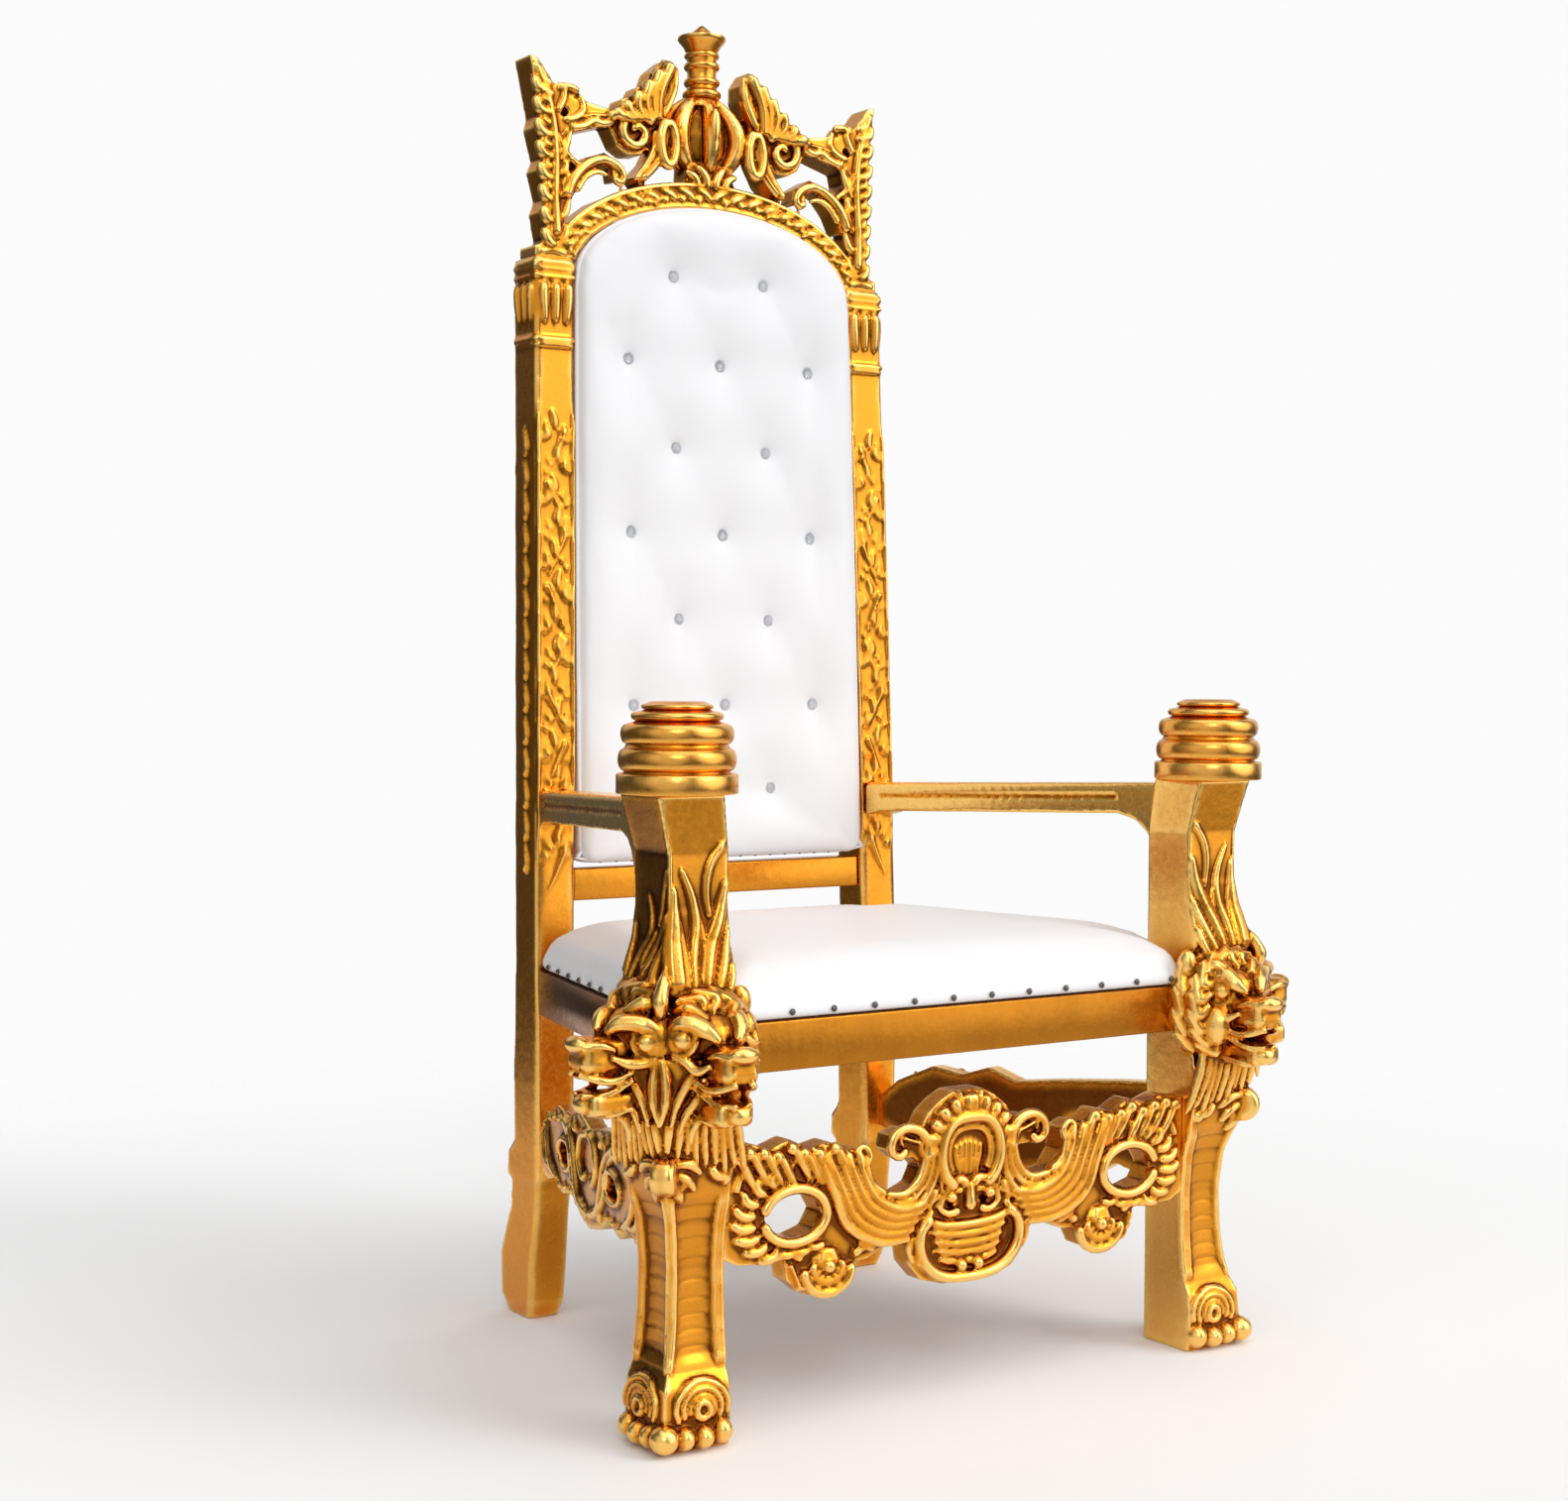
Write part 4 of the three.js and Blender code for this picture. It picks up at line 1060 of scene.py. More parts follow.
# ---- Crest ----
def arch_point(angle, proud):
    """A place on the arch, proud of the panel's own line."""
    return ((ARCH_HALF + proud) * math.cos(angle),
            ARCH_SPRING + (ARCH_RISE + proud) * math.sin(angle))


def arch_line(proud, first=4, last=90, points=12):
    turns = [math.radians(first + (last - first) * i / (points - 1)) for i in range(points)]
    return [arch_point(t, proud) for t in turns]


def crest_strokes():
    """Scrolls, shells and leaves on the front of the crest."""
    rows = Rows()
    add = rows.add
    # mouldings and small leaves of the arch band
    add(arch_line(5, 12), 9, 6, 1.0)
    add(arch_line(34, 14), 9, 7, 1.0)
    for i in range(11):
        angle = math.radians(87 - i * 6.9)
        add([arch_point(angle + 0.045, 10), arch_point(angle + 0.02, 20),
             arch_point(angle - 0.055, 30)],
            15, 9, 0.3, 0.7, 0.5)
        add([arch_point(angle - 0.01, 11), arch_point(angle - 0.065, 19)], 11, 8, 0.6, 0.8, 0.3)
    # the shell: its scroll, ribs and scalloped rim
    scroll = (124, 1656)
    add(curl_path(scroll, 31, 150, -1.35, 16, 0.16), 13, 13, 0.6)
    for tip in ((66, 1762), (84, 1749), (102, 1731), (121, 1712), (141, 1696), (160, 1681)):
        foot = (scroll[0] - 20 + (tip[0] - 110) * 0.34, scroll[1] + 18)
        bend = ((tip[0] + foot[0]) / 2 + 9, (tip[1] + foot[1]) / 2 - 1)
        add([foot, bend, tip], 11, 18, 1.0, 0.5)
        add([(tip[0] + 5, tip[1] - 14), (tip[0] + 1, tip[1])], 19, 15, 0.9, 0.6, 0.2)
    add([(66, 1748), (69, 1722), (82, 1694)], 12, 9, 0.6, 0.6, 0.3)
    add([(58, 1760), (60, 1728), (74, 1696), (92, 1668)], 12, 10, 0.5, 0.6, 0.4)
    add([(160, 1668), (178, 1662), (196, 1664), (214, 1652)], 13, 10, 0.5)
    # the double strap from the scroll down to the arch
    add([(78, 1672), (80, 1642), (92, 1616), (116, 1590)], 13, 12, 0.7)
    add([(92, 1664), (94, 1640), (104, 1618), (128, 1588)], 11, 9, 0.6)
    # the oval loop between the strap and the crown
    add(arc_path((74, 1646), 12, 90, 450, 15, 2.5), 9, 15, 1.0)
    # the curled leaf on the shoulder
    add([(238, 1552), (226, 1580), (204, 1602), (178, 1612), (156, 1606), (146, 1592), (152, 1582),
         (162, 1588)], 15, 12, 0.6)
    add([(222, 1562), (206, 1584), (186, 1594), (170, 1590)], 10, 8, 0.5)
    for x, z in ((196, 1612), (178, 1618), (214, 1602)):
        add([(x - 2, z - 12), (x, z + 2)], 11, 9, 0.6, 0.8, 0.2)
    add([(252, 1642), (240, 1618), (220, 1602), (206, 1600), (200, 1610)], 12, 9, 0.5)
    # the wing: upright stem, lobes turned outward, inner lobes round the eye and the tip
    add([(254, 1494), (256, 1550), (254, 1620), (262, 1680), (284, 1738)], 15, 12, 0.6)
    for k, z in enumerate((1502, 1532, 1562, 1592, 1622, 1652, 1682, 1710)):
        lift = 0.055 * (z - 1502)
        add([(253, z - 18), (266 + lift, z - 12), (274 + lift, z + 6)], 17, 11, 0.5, 0.6, 0.4)
        add([(256, z - 4), (264 + lift, z + 4), (262 + lift, z + 16)], 11, 10, 0.4, 0.6, 0.4)
        if z < 1640:
            add([(252, z - 10), (240, z - 2), (238 - 3 * (k % 2), z + 14)], 13, 9, 0.5, 0.6, 0.4)
    for path in ([(250, 1668), (238, 1694), (246, 1712)],
                 [(240, 1660), (222, 1664), (208, 1678), (214, 1700)],
                 [(214, 1702), (232, 1706), (250, 1700)], [(262, 1690), (268, 1714), (276, 1734)],
                 [(232, 1650), (206, 1656), (178, 1676)], [(246, 1600), (236, 1624), (228, 1648)],
                 [(250, 1520), (238, 1534), (232, 1556)], [(244, 1560), (236, 1584), (244, 1604)]):
        add(path, 12, 9, 0.4, 0.8, 0.3)
    # small leaves at the crown's foot
    add([(6, 1588), (10, 1606), (24, 1622)], 15, 10, 0.4, 0.7, 0.4)
    add([(20, 1590), (28, 1604), (44, 1612)], 13, 9, 0.4, 0.7, 0.4)
    # the foot of the wing
    add([(236, 1474), (260, 1478), (284, 1474)], 12, 7, 1.0)
    add([(240, 1488), (256, 1496), (268, 1488)], 12, 8, 0.6)
    return [ridge(crest_face, *row) for row in both(rows)]


def crown_strokes():
    """The openwork crown: bowed ribs round a bulb."""
    low, high, narrow, wide = 1614, 1720, 24, 72
    flat = 0.42  # the crown is flatter than it is wide
    sink = 9
    strokes = []
    for angle in (-96, -50, 0, 50, 96, 140, 180, 220):
        turn = math.radians(angle)
        thick = 8 if abs(angle) < 60 else 6.5
        points, radii = [], []
        for i in range(15):
            t = i / 14
            reach = narrow + (wide - narrow) * math.sin(math.pi * (0.08 + 0.9 * t)) ** 0.8 - sink
            z = (low + (high - low) * t) * MM
            points.append((math.sin(turn) * reach * MM,
                           back_y - math.cos(turn) * flat * reach * MM + lean_back(z), z))
            radii.append((thick + 6 * math.sin(math.pi * t)) * MM)
        strokes.append((points, radii))
    return strokes


class THRONE_OT_crest(bpy.types.Operator):
    """Carves the pierced crest with its shells, wings and crown"""

    bl_idname = "throne.crest"
    bl_label = "Crest"

    def execute(self, context):
        # the crown's bulb and the bead on its middle rib
        bulb_z, bead_z = 1664 * MM, 1680 * MM
        y = back_y + lean_back(bulb_z)
        crest = carve_together(
            "crest_carved",
            [copy_of_node("crest", "crest_blank"),
             add_strokes("crest_leaves", crest_strokes() + crown_strokes()),
             ball((0, y, bulb_z), (38 * MM, 13 * MM, 52 * MM)),
             ball((0, y - 0.036, bead_z), (8 * MM, 7 * MM, 24 * MM))],
            settings("carving").fine * CREST_COARSER, 3)
        mark_relief(crest)
        gild(crest, "crest")
        return {"FINISHED"}


# ---- Front apron ----
def apron_strokes():
    """Cartouche, volutes, sweeps of leaf and pendants of the front apron."""
    rows, across = Rows(), Rows()
    add = rows.add
    def add_across(half, width, height):
        """A moulding that runs from side to side over the middle line."""
        path = [(-x, z) for x, z in reversed(half)] + [(x, z) for x, z in half if x > 0]
        across.add(path, width, height, 1.0)

    # shell over the cartouche
    for i in range(6):
        angle = math.radians(4 + 17 * i)
        inner = (46 * math.sin(angle), 312 + 34 * math.cos(angle))
        outer = (74 * math.sin(angle), 304 + 74 * math.cos(angle))
        add([inner, outer], 17, 14, 0.85, 0.55, 0.2)
    # the cartouche's frame, inner lip and mask-like boss
    add_across([(0, 348), (26, 344), (42, 326), (46, 300), (38, 276), (24, 262)], 11, 15)
    add_across([(0, 335), (20, 331), (31, 318), (33, 298), (27, 280)], 8, 9)
    for i in range(3):
        add([(3 + 4 * i, 270), (4 + 7 * i, 296), (4 + 8 * i, 320 - 3 * i)], 9, 3.5, 0.7, 0.6, 0.3)
    # a small leafy mask under it: brow curls, a nose between the two holes, and cheeks
    add([(4, 262), (14, 270), (28, 266), (40, 254), (46, 240)], 12, 12, 0.5)
    add([(10, 256), (22, 256), (34, 248)], 9, 9, 0.5)
    add([(16, 232), (30, 229), (42, 234), (50, 244)], 10, 10, 0.5)
    add([(50, 262), (60, 250), (62, 236)], 12, 10, 0.5)
    add([(56, 236), (68, 228), (82, 230)], 10, 9, 0.5)
    across.add([(0, 266), (0, 250), (0, 232)], 15, 15, 1.0, 0.5)
    # hook at the top of the notch and the grooved scroll that cups it
    add([(64, 300), (66, 322), (80, 338), (100, 342), (118, 332), (120, 316), (108, 308),
         (98, 316)], 13, 13, 0.6)
    for path in fan([(46, 338), (52, 300), (58, 272), (80, 246), (112, 240)],
                    [(66, 322), (70, 298), (80, 276), (100, 262), (130, 264)], 3):
        add(path, 10, 13, 0.5, 0.9)
    add([(130, 264), (150, 280), (158, 304), (172, 322)], 11, 12, 0.5, 0.9)
    add([(160, 300), (152, 316), (162, 326), (174, 320)], 9, 9, 0.5)
    # sweeps that leave the foot of the cartouche and open into the end leaf
    for path in fan([(62, 250), (104, 244), (142, 260), (162, 290), (170, 322)],
                    [(86, 206), (140, 208), (186, 234), (208, 280), (236, 334)], 5):
        add(path, 12, 13, 0.5, 0.5, 0.5)
    for x, z in ((206, 336), (228, 331), (250, 334), (268, 342), (288, 334), (308, 340), (328, 342),
                 (346, 338)):
        add([(x - 30, z - 50), (x - 16, z - 26), (x, z)], 11, 11, 0.7, 0.4, 0.4)
        add([(x - 3, z - 14), (x + 1, z - 1)], 14, 12, 0.7, 0.8, 0.2)
    # lip round the large eye and the rosette beside it
    add(arc_path((262, 254), 45, 10, 350, 18, 0.72), 11, 12, 1.0)
    for turn in range(-64, 80, 18):
        near, far = math.radians(turn), math.radians(turn + 10)
        add([(262 + 54 * math.cos(near), 254 + 40 * math.sin(near)),
             (262 + 74 * math.cos(near), 254 + 52 * math.sin(near)),
             (262 + 90 * math.cos(far), 254 + 62 * math.sin(far))], 15, 10, 0.5, 0.6, 0.4)
    for x, z in ((232, 212), (252, 208), (272, 207), (292, 206)):
        add([(x - 14, z + 4), (x, z), (x + 14, z + 6)], 10, 9, 0.5, 0.7, 0.3)
    for x, z in ((110, 208), (132, 204), (154, 200)):
        add([(x + 16, z + 12), (x + 4, z + 6), (x - 6, z - 1)], 11, 10, 0.5, 0.6, 0.3)
    # the pendant: two rings, petals and a drop
    add(arc_path((214, 184), 34, 175, 365, 14, 0.85), 12, 11, 1.0)
    add(arc_path((214, 186), 21, 160, 380, 12, 0.85), 9, 9, 1.0)
    for angle in (200, 235, 270, 305, 340):
        turn = math.radians(angle)
        add([(214 + 8 * math.cos(turn), 188 + 8 * math.sin(turn)),
             (214 + 28 * math.cos(turn), 184 + 26 * math.sin(turn))], 9, 9, 0.8, 0.5, 0.3)
    add([(176, 196), (160, 204), (144, 198)], 12, 9, 0.5)
    add([(250, 200), (268, 208), (288, 204)], 12, 9, 0.5)
    # the grooved cup under the cartouche
    for i in range(5):
        z = 217 - 11.5 * i
        reach = 62 - 4 * i
        add_across([(0, z - 4), (reach * 0.6, z - 2), (reach, z + 5)], 11.5, 9 - 0.6 * i)
    add_across([(0, 148), (40, 152), (64, 166), (77, 188), (76, 212), (60, 228)], 10, 13)
    add([(90, 206), (92, 190), (84, 172)], 9, 8, 0.5)
    return [ridge(apron_face, *row) for row in both(rows) + across]


class THRONE_OT_front_apron(bpy.types.Operator):
    """Carves the pierced apron between the front legs"""

    bl_idname = "throne.front_apron"
    bl_label = "Front apron"

    def execute(self, context):
        parts = [copy_of_node("front_apron", "front_apron_blank"),
                 add_strokes("front_apron_leaves", apron_strokes())]
        # boss of the pendant, tip of the cup and cheek of the mask
        for side in (-1, 1):
            for x, z, radii in ((214, 188, (9, 10, 9)), (13, 163, (8, 8, 8)), (30, 250, (8, 9, 7))):
                parts.append(ball(Vector(apron_face(x * side, z, 6)), [r * MM for r in radii], 12))
        apron = carve_together("front_apron_carved", parts, settings("carving").fine, 4)
        trim(apron, 0, GAP - corner_x, corner_x - GAP)
        mark_relief(apron)
        gild(apron, "front_apron")
        return {"FINISHED"}


# ---- Side aprons ----
# distance from the back end, and the lower and upper edge of the board there
SIDE_BOARD = (
    (0, 40, 84, 116, 166, 206, 250, 300, 340, 392, 424, 462, 500),
    (220, 208, 220, 204, 214, 196, 186, 196, 214, 204, 222, 212, 226),
    (266, 295, 314, 317, 319, 328, 316, 323, 328, 334, 337, 341, 344),
)


side_start = Vector((0.300, post_front - GAP))
side_end = Vector((corner_x + 0.060, corner_y + GAP))
side_along = (side_end - side_start).normalized()
side_out = Vector((-side_along.y, side_along.x))


def side_face(s, z, proud):
    """s runs forward from the back post, on the outer face of the right-hand apron."""
    place = side_start + side_along * s * MM + side_out * proud * MM
    return (place.x, place.y, z * MM)


def side_apron_strokes():
    """Leaves and a ring on each half of the board, clear of its wavy edges."""
    middle = (side_end - side_start).length / MM / 2
    rows = []
    for sign in (-1, 1):

        def at(s, z):
            place = middle + sign * s
            low = np.interp(place, SIDE_BOARD[0], SIDE_BOARD[1]) + 7
            high = np.interp(place, SIDE_BOARD[0], SIDE_BOARD[2]) - 7
            return (place, float(np.clip(z, low, high)))

        rows += [
            ([at(4, 206), at(50, 224), at(78, 288), at(122, 316)], 18, 9),
            ([at(30, 212), at(72, 238), at(98, 290), at(140, 310)], 12, 8),
            ([at(6, 316), at(30, 300), at(40, 270), at(24, 248), at(10, 258)], 13, 9),
            ([at(158, 222), at(196, 246), at(212, 300)], 16, 8),
            ([at(176, 212), at(220, 240), at(232, 300)], 12, 7),
        ]
        rows += [([at(60 + 26 * i, 300), at(66 + 26 * i, 322)], 13, 8) for i in range(7)]
        rows += [([at(20 + 30 * i, 206), at(30 + 30 * i, 222)], 13, 7) for i in range(6)]
        rows.append(([at(112 + 34 * math.cos(t), 262 + 20 * math.sin(t))
                      for t in (math.radians(30 * k) for k in range(13))], 9, 8))
    return [ridge(side_face, *row, tip=0.5, start=0.8, swell=0.2) for row in rows]


class THRONE_OT_side_aprons(bpy.types.Operator):
    """Carves the two pierced side aprons"""

    bl_idname = "throne.side_aprons"
    bl_label = "Side aprons"

    def execute(self, context):
        parts = [copy_of_node("side_apron_right", "side_apron_blank"),
                 add_strokes("side_leaves", side_apron_strokes())]
        right = carve_together("side_apron_carved_right", parts, settings("carving").coarse, 3)
        trim(right, 1, corner_y + GAP, post_front - GAP)
        mark_relief(right)
        # painted shade: the faces turned inward are painted browner
        paint_light_and_shade(right, -4.8, turned_inward(right))
        gild_pair(right, "side_apron")
        return {"FINISHED"}


# ---- Back posts ----
def stile_x(z):
    """Middle of the back post at a height in millimetres."""
    low, high = LEAN_START / MM, post_top / MM
    rise = max(0.0, (z - low) / (high - low))
    return STILE_AT_SEAT + (STILE_AT_CREST - STILE_AT_SEAT) * rise


def stile_face(a, z, proud):
    """a is measured from the middle of the stile, positive outward."""
    return ((stile_x(z) + a) * MM, post_front - proud * MM + lean_back(z * MM), z * MM)


def stile_side(d, z, proud):
    """The outer side of the stile, d forward of its middle."""
    return ((stile_x(z) + proud) * MM + POST_HALF, back_y - d * MM + lean_back(z * MM), z * MM)


def stile_strokes():
    """A leafy vine up the front, a wavy chain up the outer side, and the reeded top block."""
    pitch, low, high = 44, 640, 1262
    strokes = []
    # leaves in pairs that overlap all the way up
    for i in range((high - low) // pitch):
        z = low + pitch * i
        side = 1 if i % 2 else -1
        for path, wide, tall in (
                ([(2 * side, z), (13 * side, z + 12), (17 * side, z + 34)], 20, 4.2),
                ([(0, z + 4), (-10 * side, z + 16), (-16 * side, z + 30)], 18, 3.6),
                ([(4 * side, z + 14), (2 * side, z + 30), (8 * side, z + 48)], 16, 4.2),
                ([(-6 * side, z + 2), (-16 * side, z + 4), (-20 * side, z + 14)], 14, 3.4),
                ([(10 * side, z + 2), (19 * side, z + 6), (21 * side, z + 16)], 13, 3.4)):
            strokes.append(ridge(stile_face, path, wide, tall, 0.35, 0.7, 0.4))
    for a in (-27, 27):
        edge = [(a, z) for z in (632, 900, 1180, 1268)]
        strokes.append(ridge(stile_face, edge, 5, 3.5, 1.0, steps=2))
    for i in range(14):
        z = 620 + pitch * i
        path = [(0, z), (7, z + 14), (3, z + 30), (0, z + 42)]
        strokes.append(ridge(stile_side, path, 11, 7, 0.4, 0.8, 0.4))
    # reeds, drops and bands of the top block
    for face in (stile_face, stile_side):
        for a in (-19, 0, 19):
            path = [(a, 1432), (a, 1410), (a * 0.85, 1374)]
            strokes.append(ridge(face, path, 13, 8, 0.35, 0.9, 0.3))
        for z in (1346, 1354, 1440, 1450, 1460):
            strokes.append(ridge(face, [(-31, z), (0, z), (31, z)], 7, 4, 1.0, steps=3))
    return strokes


class THRONE_OT_back_posts(bpy.types.Operator):
    """Carves the two back posts"""

    bl_idname = "throne.back_posts"
    bl_label = "Back posts"

    def execute(self, context):
        parts = [copy_of_node("back_post_right", "back_post_blank"),
                 add_strokes("stile_leaves", stile_strokes())]
        right = carve_together("back_post_carved_right", parts, settings("carving").coarse, 3)
        trim(right, 2, 0.0, post_top - GAP)
        mark_relief(right, 0.45)
        # painted light: the faces toward the front are painted paler
        paint_light_and_shade(right, 0.4, np.clip(-read_normals(right)[:, 1], 0, 1))
        gild_pair(right, "back_post")
        return {"FINISHED"}


# ---- Arms and rails ----
# how much painted shade browns the leaf of each plain board
RAIL_PAINTED_SHADE = {"seat_rail_front": -2.6, "seat_rail_back": -2.0, "seat_rail_left": -3.6,
             "seat_rail_right": -3.6, "back_lower_rail": -0.6}


class THRONE_OT_arms_and_rails(bpy.types.Operator):
    """Rounds and gilds the arms and the rails"""

    bl_idname = "throne.arms_and_rails"
    bl_label = "Arms and rails"

    def execute(self, context):
        arm = copy_of_node("arm_right", "arm_blank")
        cut = settings("carving").coarse * ARM_COARSER
        right = carve_together("arm_reeded_right", [arm], cut, 2)
        mark_relief(right)
        # painted light: the whole arm is painted paler
        paint_light_and_shade(right, 3.0)
        gild_pair(right, "arm")
        for name, leaf in RAIL_PAINTED_SHADE.items():
            rail = copy_of_node(name, name + "_board")
            finish_with(rail, "BEVEL", width=0.0025, segments=3, limit_method="ANGLE")
            # painted shade, by the amount listed for this board
            paint_light_and_shade(rail, leaf)
            gild(rail, name, angle=40)
        return {"FINISHED"}


# ---- Upholstery ----
FILL_LIMIT = 0.005  # the filling moves no point further than this
FILL_FRAMES = 20
# depth and reach of a button's dimple, of the wide hollow round it, and of the folds between
DIMPLES = ((0.012, 0.021), (0.0065, 0.050))
FOLD_DEPTH, FOLD_WIDTH, FOLD_LONGEST = 0.0028, 0.011, 0.15
PANEL_SWELL = 0.019  # how far the panel's crown stands before its rim
PIPING_INSET = 3


def button_places():
    boxes = [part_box(name) for name in sorted(frame["nodes"]) if name.startswith("panel_button_")]
    return [(low + high) / 2 for low, high in boxes]


def filled(obj, held):
    """Fills a pad: a short run of cloth under pressure, with the held points left in place."""
    start = read_points(obj)
    group = obj.vertex_groups.new(name="held")
    group.add([int(i) for i in np.flatnonzero(held)], 1.0, "REPLACE")
    pick_up(obj)
    cloth = obj.modifiers.new("Filling", "CLOTH")
    cloth.settings.quality = 5
    cloth.settings.mass = 0.2
    cloth.settings.use_pressure = True
    cloth.settings.uniform_pressure_force = 4.0
    cloth.settings.effector_weights.gravity = 0.0
    cloth.settings.vertex_group_mass = group.name
    cloth.point_cache.frame_start, cloth.point_cache.frame_end = 1, FILL_FRAMES
    for frame_number in range(1, FILL_FRAMES + 1):
        bpy.context.scene.frame_set(frame_number)
    bpy.ops.object.modifier_apply(modifier=cloth.name)
    bpy.context.scene.frame_set(1)
    moved = read_points(obj) - start
    length = np.maximum(np.linalg.norm(moved, axis=1), 1e-9)[:, None]
    write_points(obj, start + moved * np.minimum(1.0, FILL_LIMIT / length))
    obj.vertex_groups.clear()


def tufting(points, places):
    """How deep buttons and folds pull each point in, and how far it is from the nearest button."""
    depth = np.zeros(len(points))
    nearest = np.ones(len(points))
    for place in places:
        away = np.hypot(points[:, 0] - place.x, points[:, 2] - place.z)
        nearest = np.minimum(nearest, away)
        for deep, reach in DIMPLES:
            depth = np.maximum(depth, deep * np.exp(-(away / reach) ** 2))
    for i, one in enumerate(places):
        for other in places[i + 1:]:
            span = Vector((other.x - one.x, other.z - one.z))
            # folds run aslant from one row to the next, and not along a row
            if span.length > FOLD_LONGEST or abs(span.y) < 0.01:
                continue
            ux, uz = span.normalized()
            rx, rz = points[:, 0] - one.x, points[:, 2] - one.z
            s = np.clip(rx * ux + rz * uz, 0, span.length)
            off = np.hypot(rx - s * ux, rz - s * uz)
            depth = np.maximum(depth, FOLD_DEPTH * np.exp(-(off / FOLD_WIDTH) ** 2))
    return depth, nearest


def panel_piping():
    """A cord of leatherette round the panel's edge."""
    inset, bottom = PIPING_INSET, PANEL_BOTTOM
    foot = STILE_AT_SEAT - POST_HALF / MM - 6 - inset
    corner = [(foot, bottom + 60), (foot - 2, bottom + 20), (foot - 14, bottom + 6)]
    arch = [arch_point(math.radians(a), -inset) for a in range(0, 181, 6)]
    side = [corner[0], (foot - 2, 1000), (ARCH_HALF - inset + 3, 1380)]
    line = [*side, *arch, *[(-x, z) for x, z in reversed(side)],
            *[(-x, z) for x, z in corner[1:]], (0, bottom + 5), *reversed(corner)]
    points = [(x * MM, panel_front - 0.003 + lean_back(z * MM), z * MM)
              for x, z in smooth_path(line, 3)]
    return add_strokes("back_panel_piping", [(points, [3.2 * MM] * len(points))], 3)


class THRONE_OT_back_panel(bpy.types.Operator):
    """Pads and tufts the back panel, with its piping"""

    bl_idname = "throne.back_panel"
    bl_label = "Back panel"

    def execute(self, context):
        pad = copy_of_node("back_panel", "back_panel_tufted")
        pad = carve_together("back_panel_tufted", [pad], PANEL_VOXEL, 4)
        points = read_points(pad)
        faces_front = np.clip(-read_normals(pad)[:, 1] * 1.5 - 0.2, 0, 1) > 0.1
        lean = np.maximum(points[:, 2] - LEAN_START, 0) * LEAN
        depth, nearest = tufting(points, button_places())
        goal = panel_front - PANEL_SWELL + lean + depth
        near = faces_front & (points[:, 1] < panel_front + lean)
        edge = average_neighbours(pad, 5, near.astype(float)[:, None])[:, 0]
        blend = np.clip(edge * 2 - 1, 0, 1) * near
        points[:, 1] = points[:, 1] * (1 - blend) + goal * blend
        write_points(pad, points)
        soften(pad, 3)
        filled(pad, (blend < 0.6) | (nearest < 0.011))
        soften(pad, 2)
        finish_with(pad, "SUBSURF", levels=1, render_levels=1)
        smooth_shade(pad)
        paint(pad, "leather")
        hand_over(pad, "white_leather", "back_panel")
        piping = panel_piping()
        smooth_shade(piping)
        paint(piping, "leather")
        hand_over(piping, "white_leather")
        return {"FINISHED"}


def gem(name, place, radius, height):
    """A cut crystal with a table, a crown and a girdle, facing the sitter."""
    put_down()
    bpy.ops.mesh.primitive_circle_add(
        vertices=10, radius=radius, fill_type="NGON", location=place, rotation=(math.pi / 2, 0, 0))
    obj = bpy.context.object
    obj.name = name
    bpy.ops.object.transform_apply(location=True, rotation=True, scale=True)
    open_mesh()
    for step, grow in ((height * 0.25, 1.0), (height * 0.45, 0.72), (height * 0.3, 0.62)):
        bpy.ops.mesh.extrude_region_move(TRANSFORM_OT_translate={"value": (0, -step, 0)})
        bpy.ops.transform.resize(value=(grow, 1, grow), center_override=place)
    close_mesh()
    return obj


GEM_RADIUS, GEM_HEIGHT = 0.0088, 0.006


class THRONE_OT_buttons(bpy.types.Operator):
    """Sets the crystal buttons"""

    bl_idname = "throne.buttons"
    bl_label = "Buttons"

    def execute(self, context):
        for i, place in enumerate(button_places(), start=1):
            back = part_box(f"panel_button_{i:02d}")[1].y
            stone = gem(f"crystal_button_{i:02d}", (place.x, back, place.z), GEM_RADIUS, GEM_HEIGHT)
            paint(stone, "cut_glass")
            hand_over(stone, "crystal", f"panel_button_{i:02d}")
        return {"FINISHED"}


class THRONE_OT_seat_pad(bpy.types.Operator):
    """Pads the seat"""

    bl_idname = "throne.seat_pad"
    bl_label = "Seat pad"

    def execute(self, context):
        pad = copy_of_node("seat_pad", "seat_pad_cover")
        pad = carve_together("seat_pad_cover", [pad], SEAT_VOXEL, 3)
        points = read_points(pad)
        held = points[:, 2] < seat_low + 0.014
        # the cover starts a little slack, and the filling draws it tight
        points -= read_normals(pad) * np.where(held, 0.0, 0.0025)[:, None]
        write_points(pad, points)
        filled(pad, held)
        soften(pad, 3)
        finish_with(pad, "SUBSURF", levels=1, render_levels=1)
        smooth_shade(pad)
        paint(pad, "leather")
        hand_over(pad, "white_leather", "seat_pad")
        return {"FINISHED"}


def nail_head(place, normal):
    """A small domed nail with a thin rim, driven in against its normal."""
    dome = [(0, -1.2), (4.0, -1.2), (4.3, -0.5), (3.7, 0.3), (3.0, 1.3), (1.6, 2.1), (0, 2.4)]
    head = turned_piece("nail", dome, (0, 0), 12)
    head.rotation_euler = Vector(normal).to_track_quat("Z", "Y").to_euler()
    head.location = place
    return head


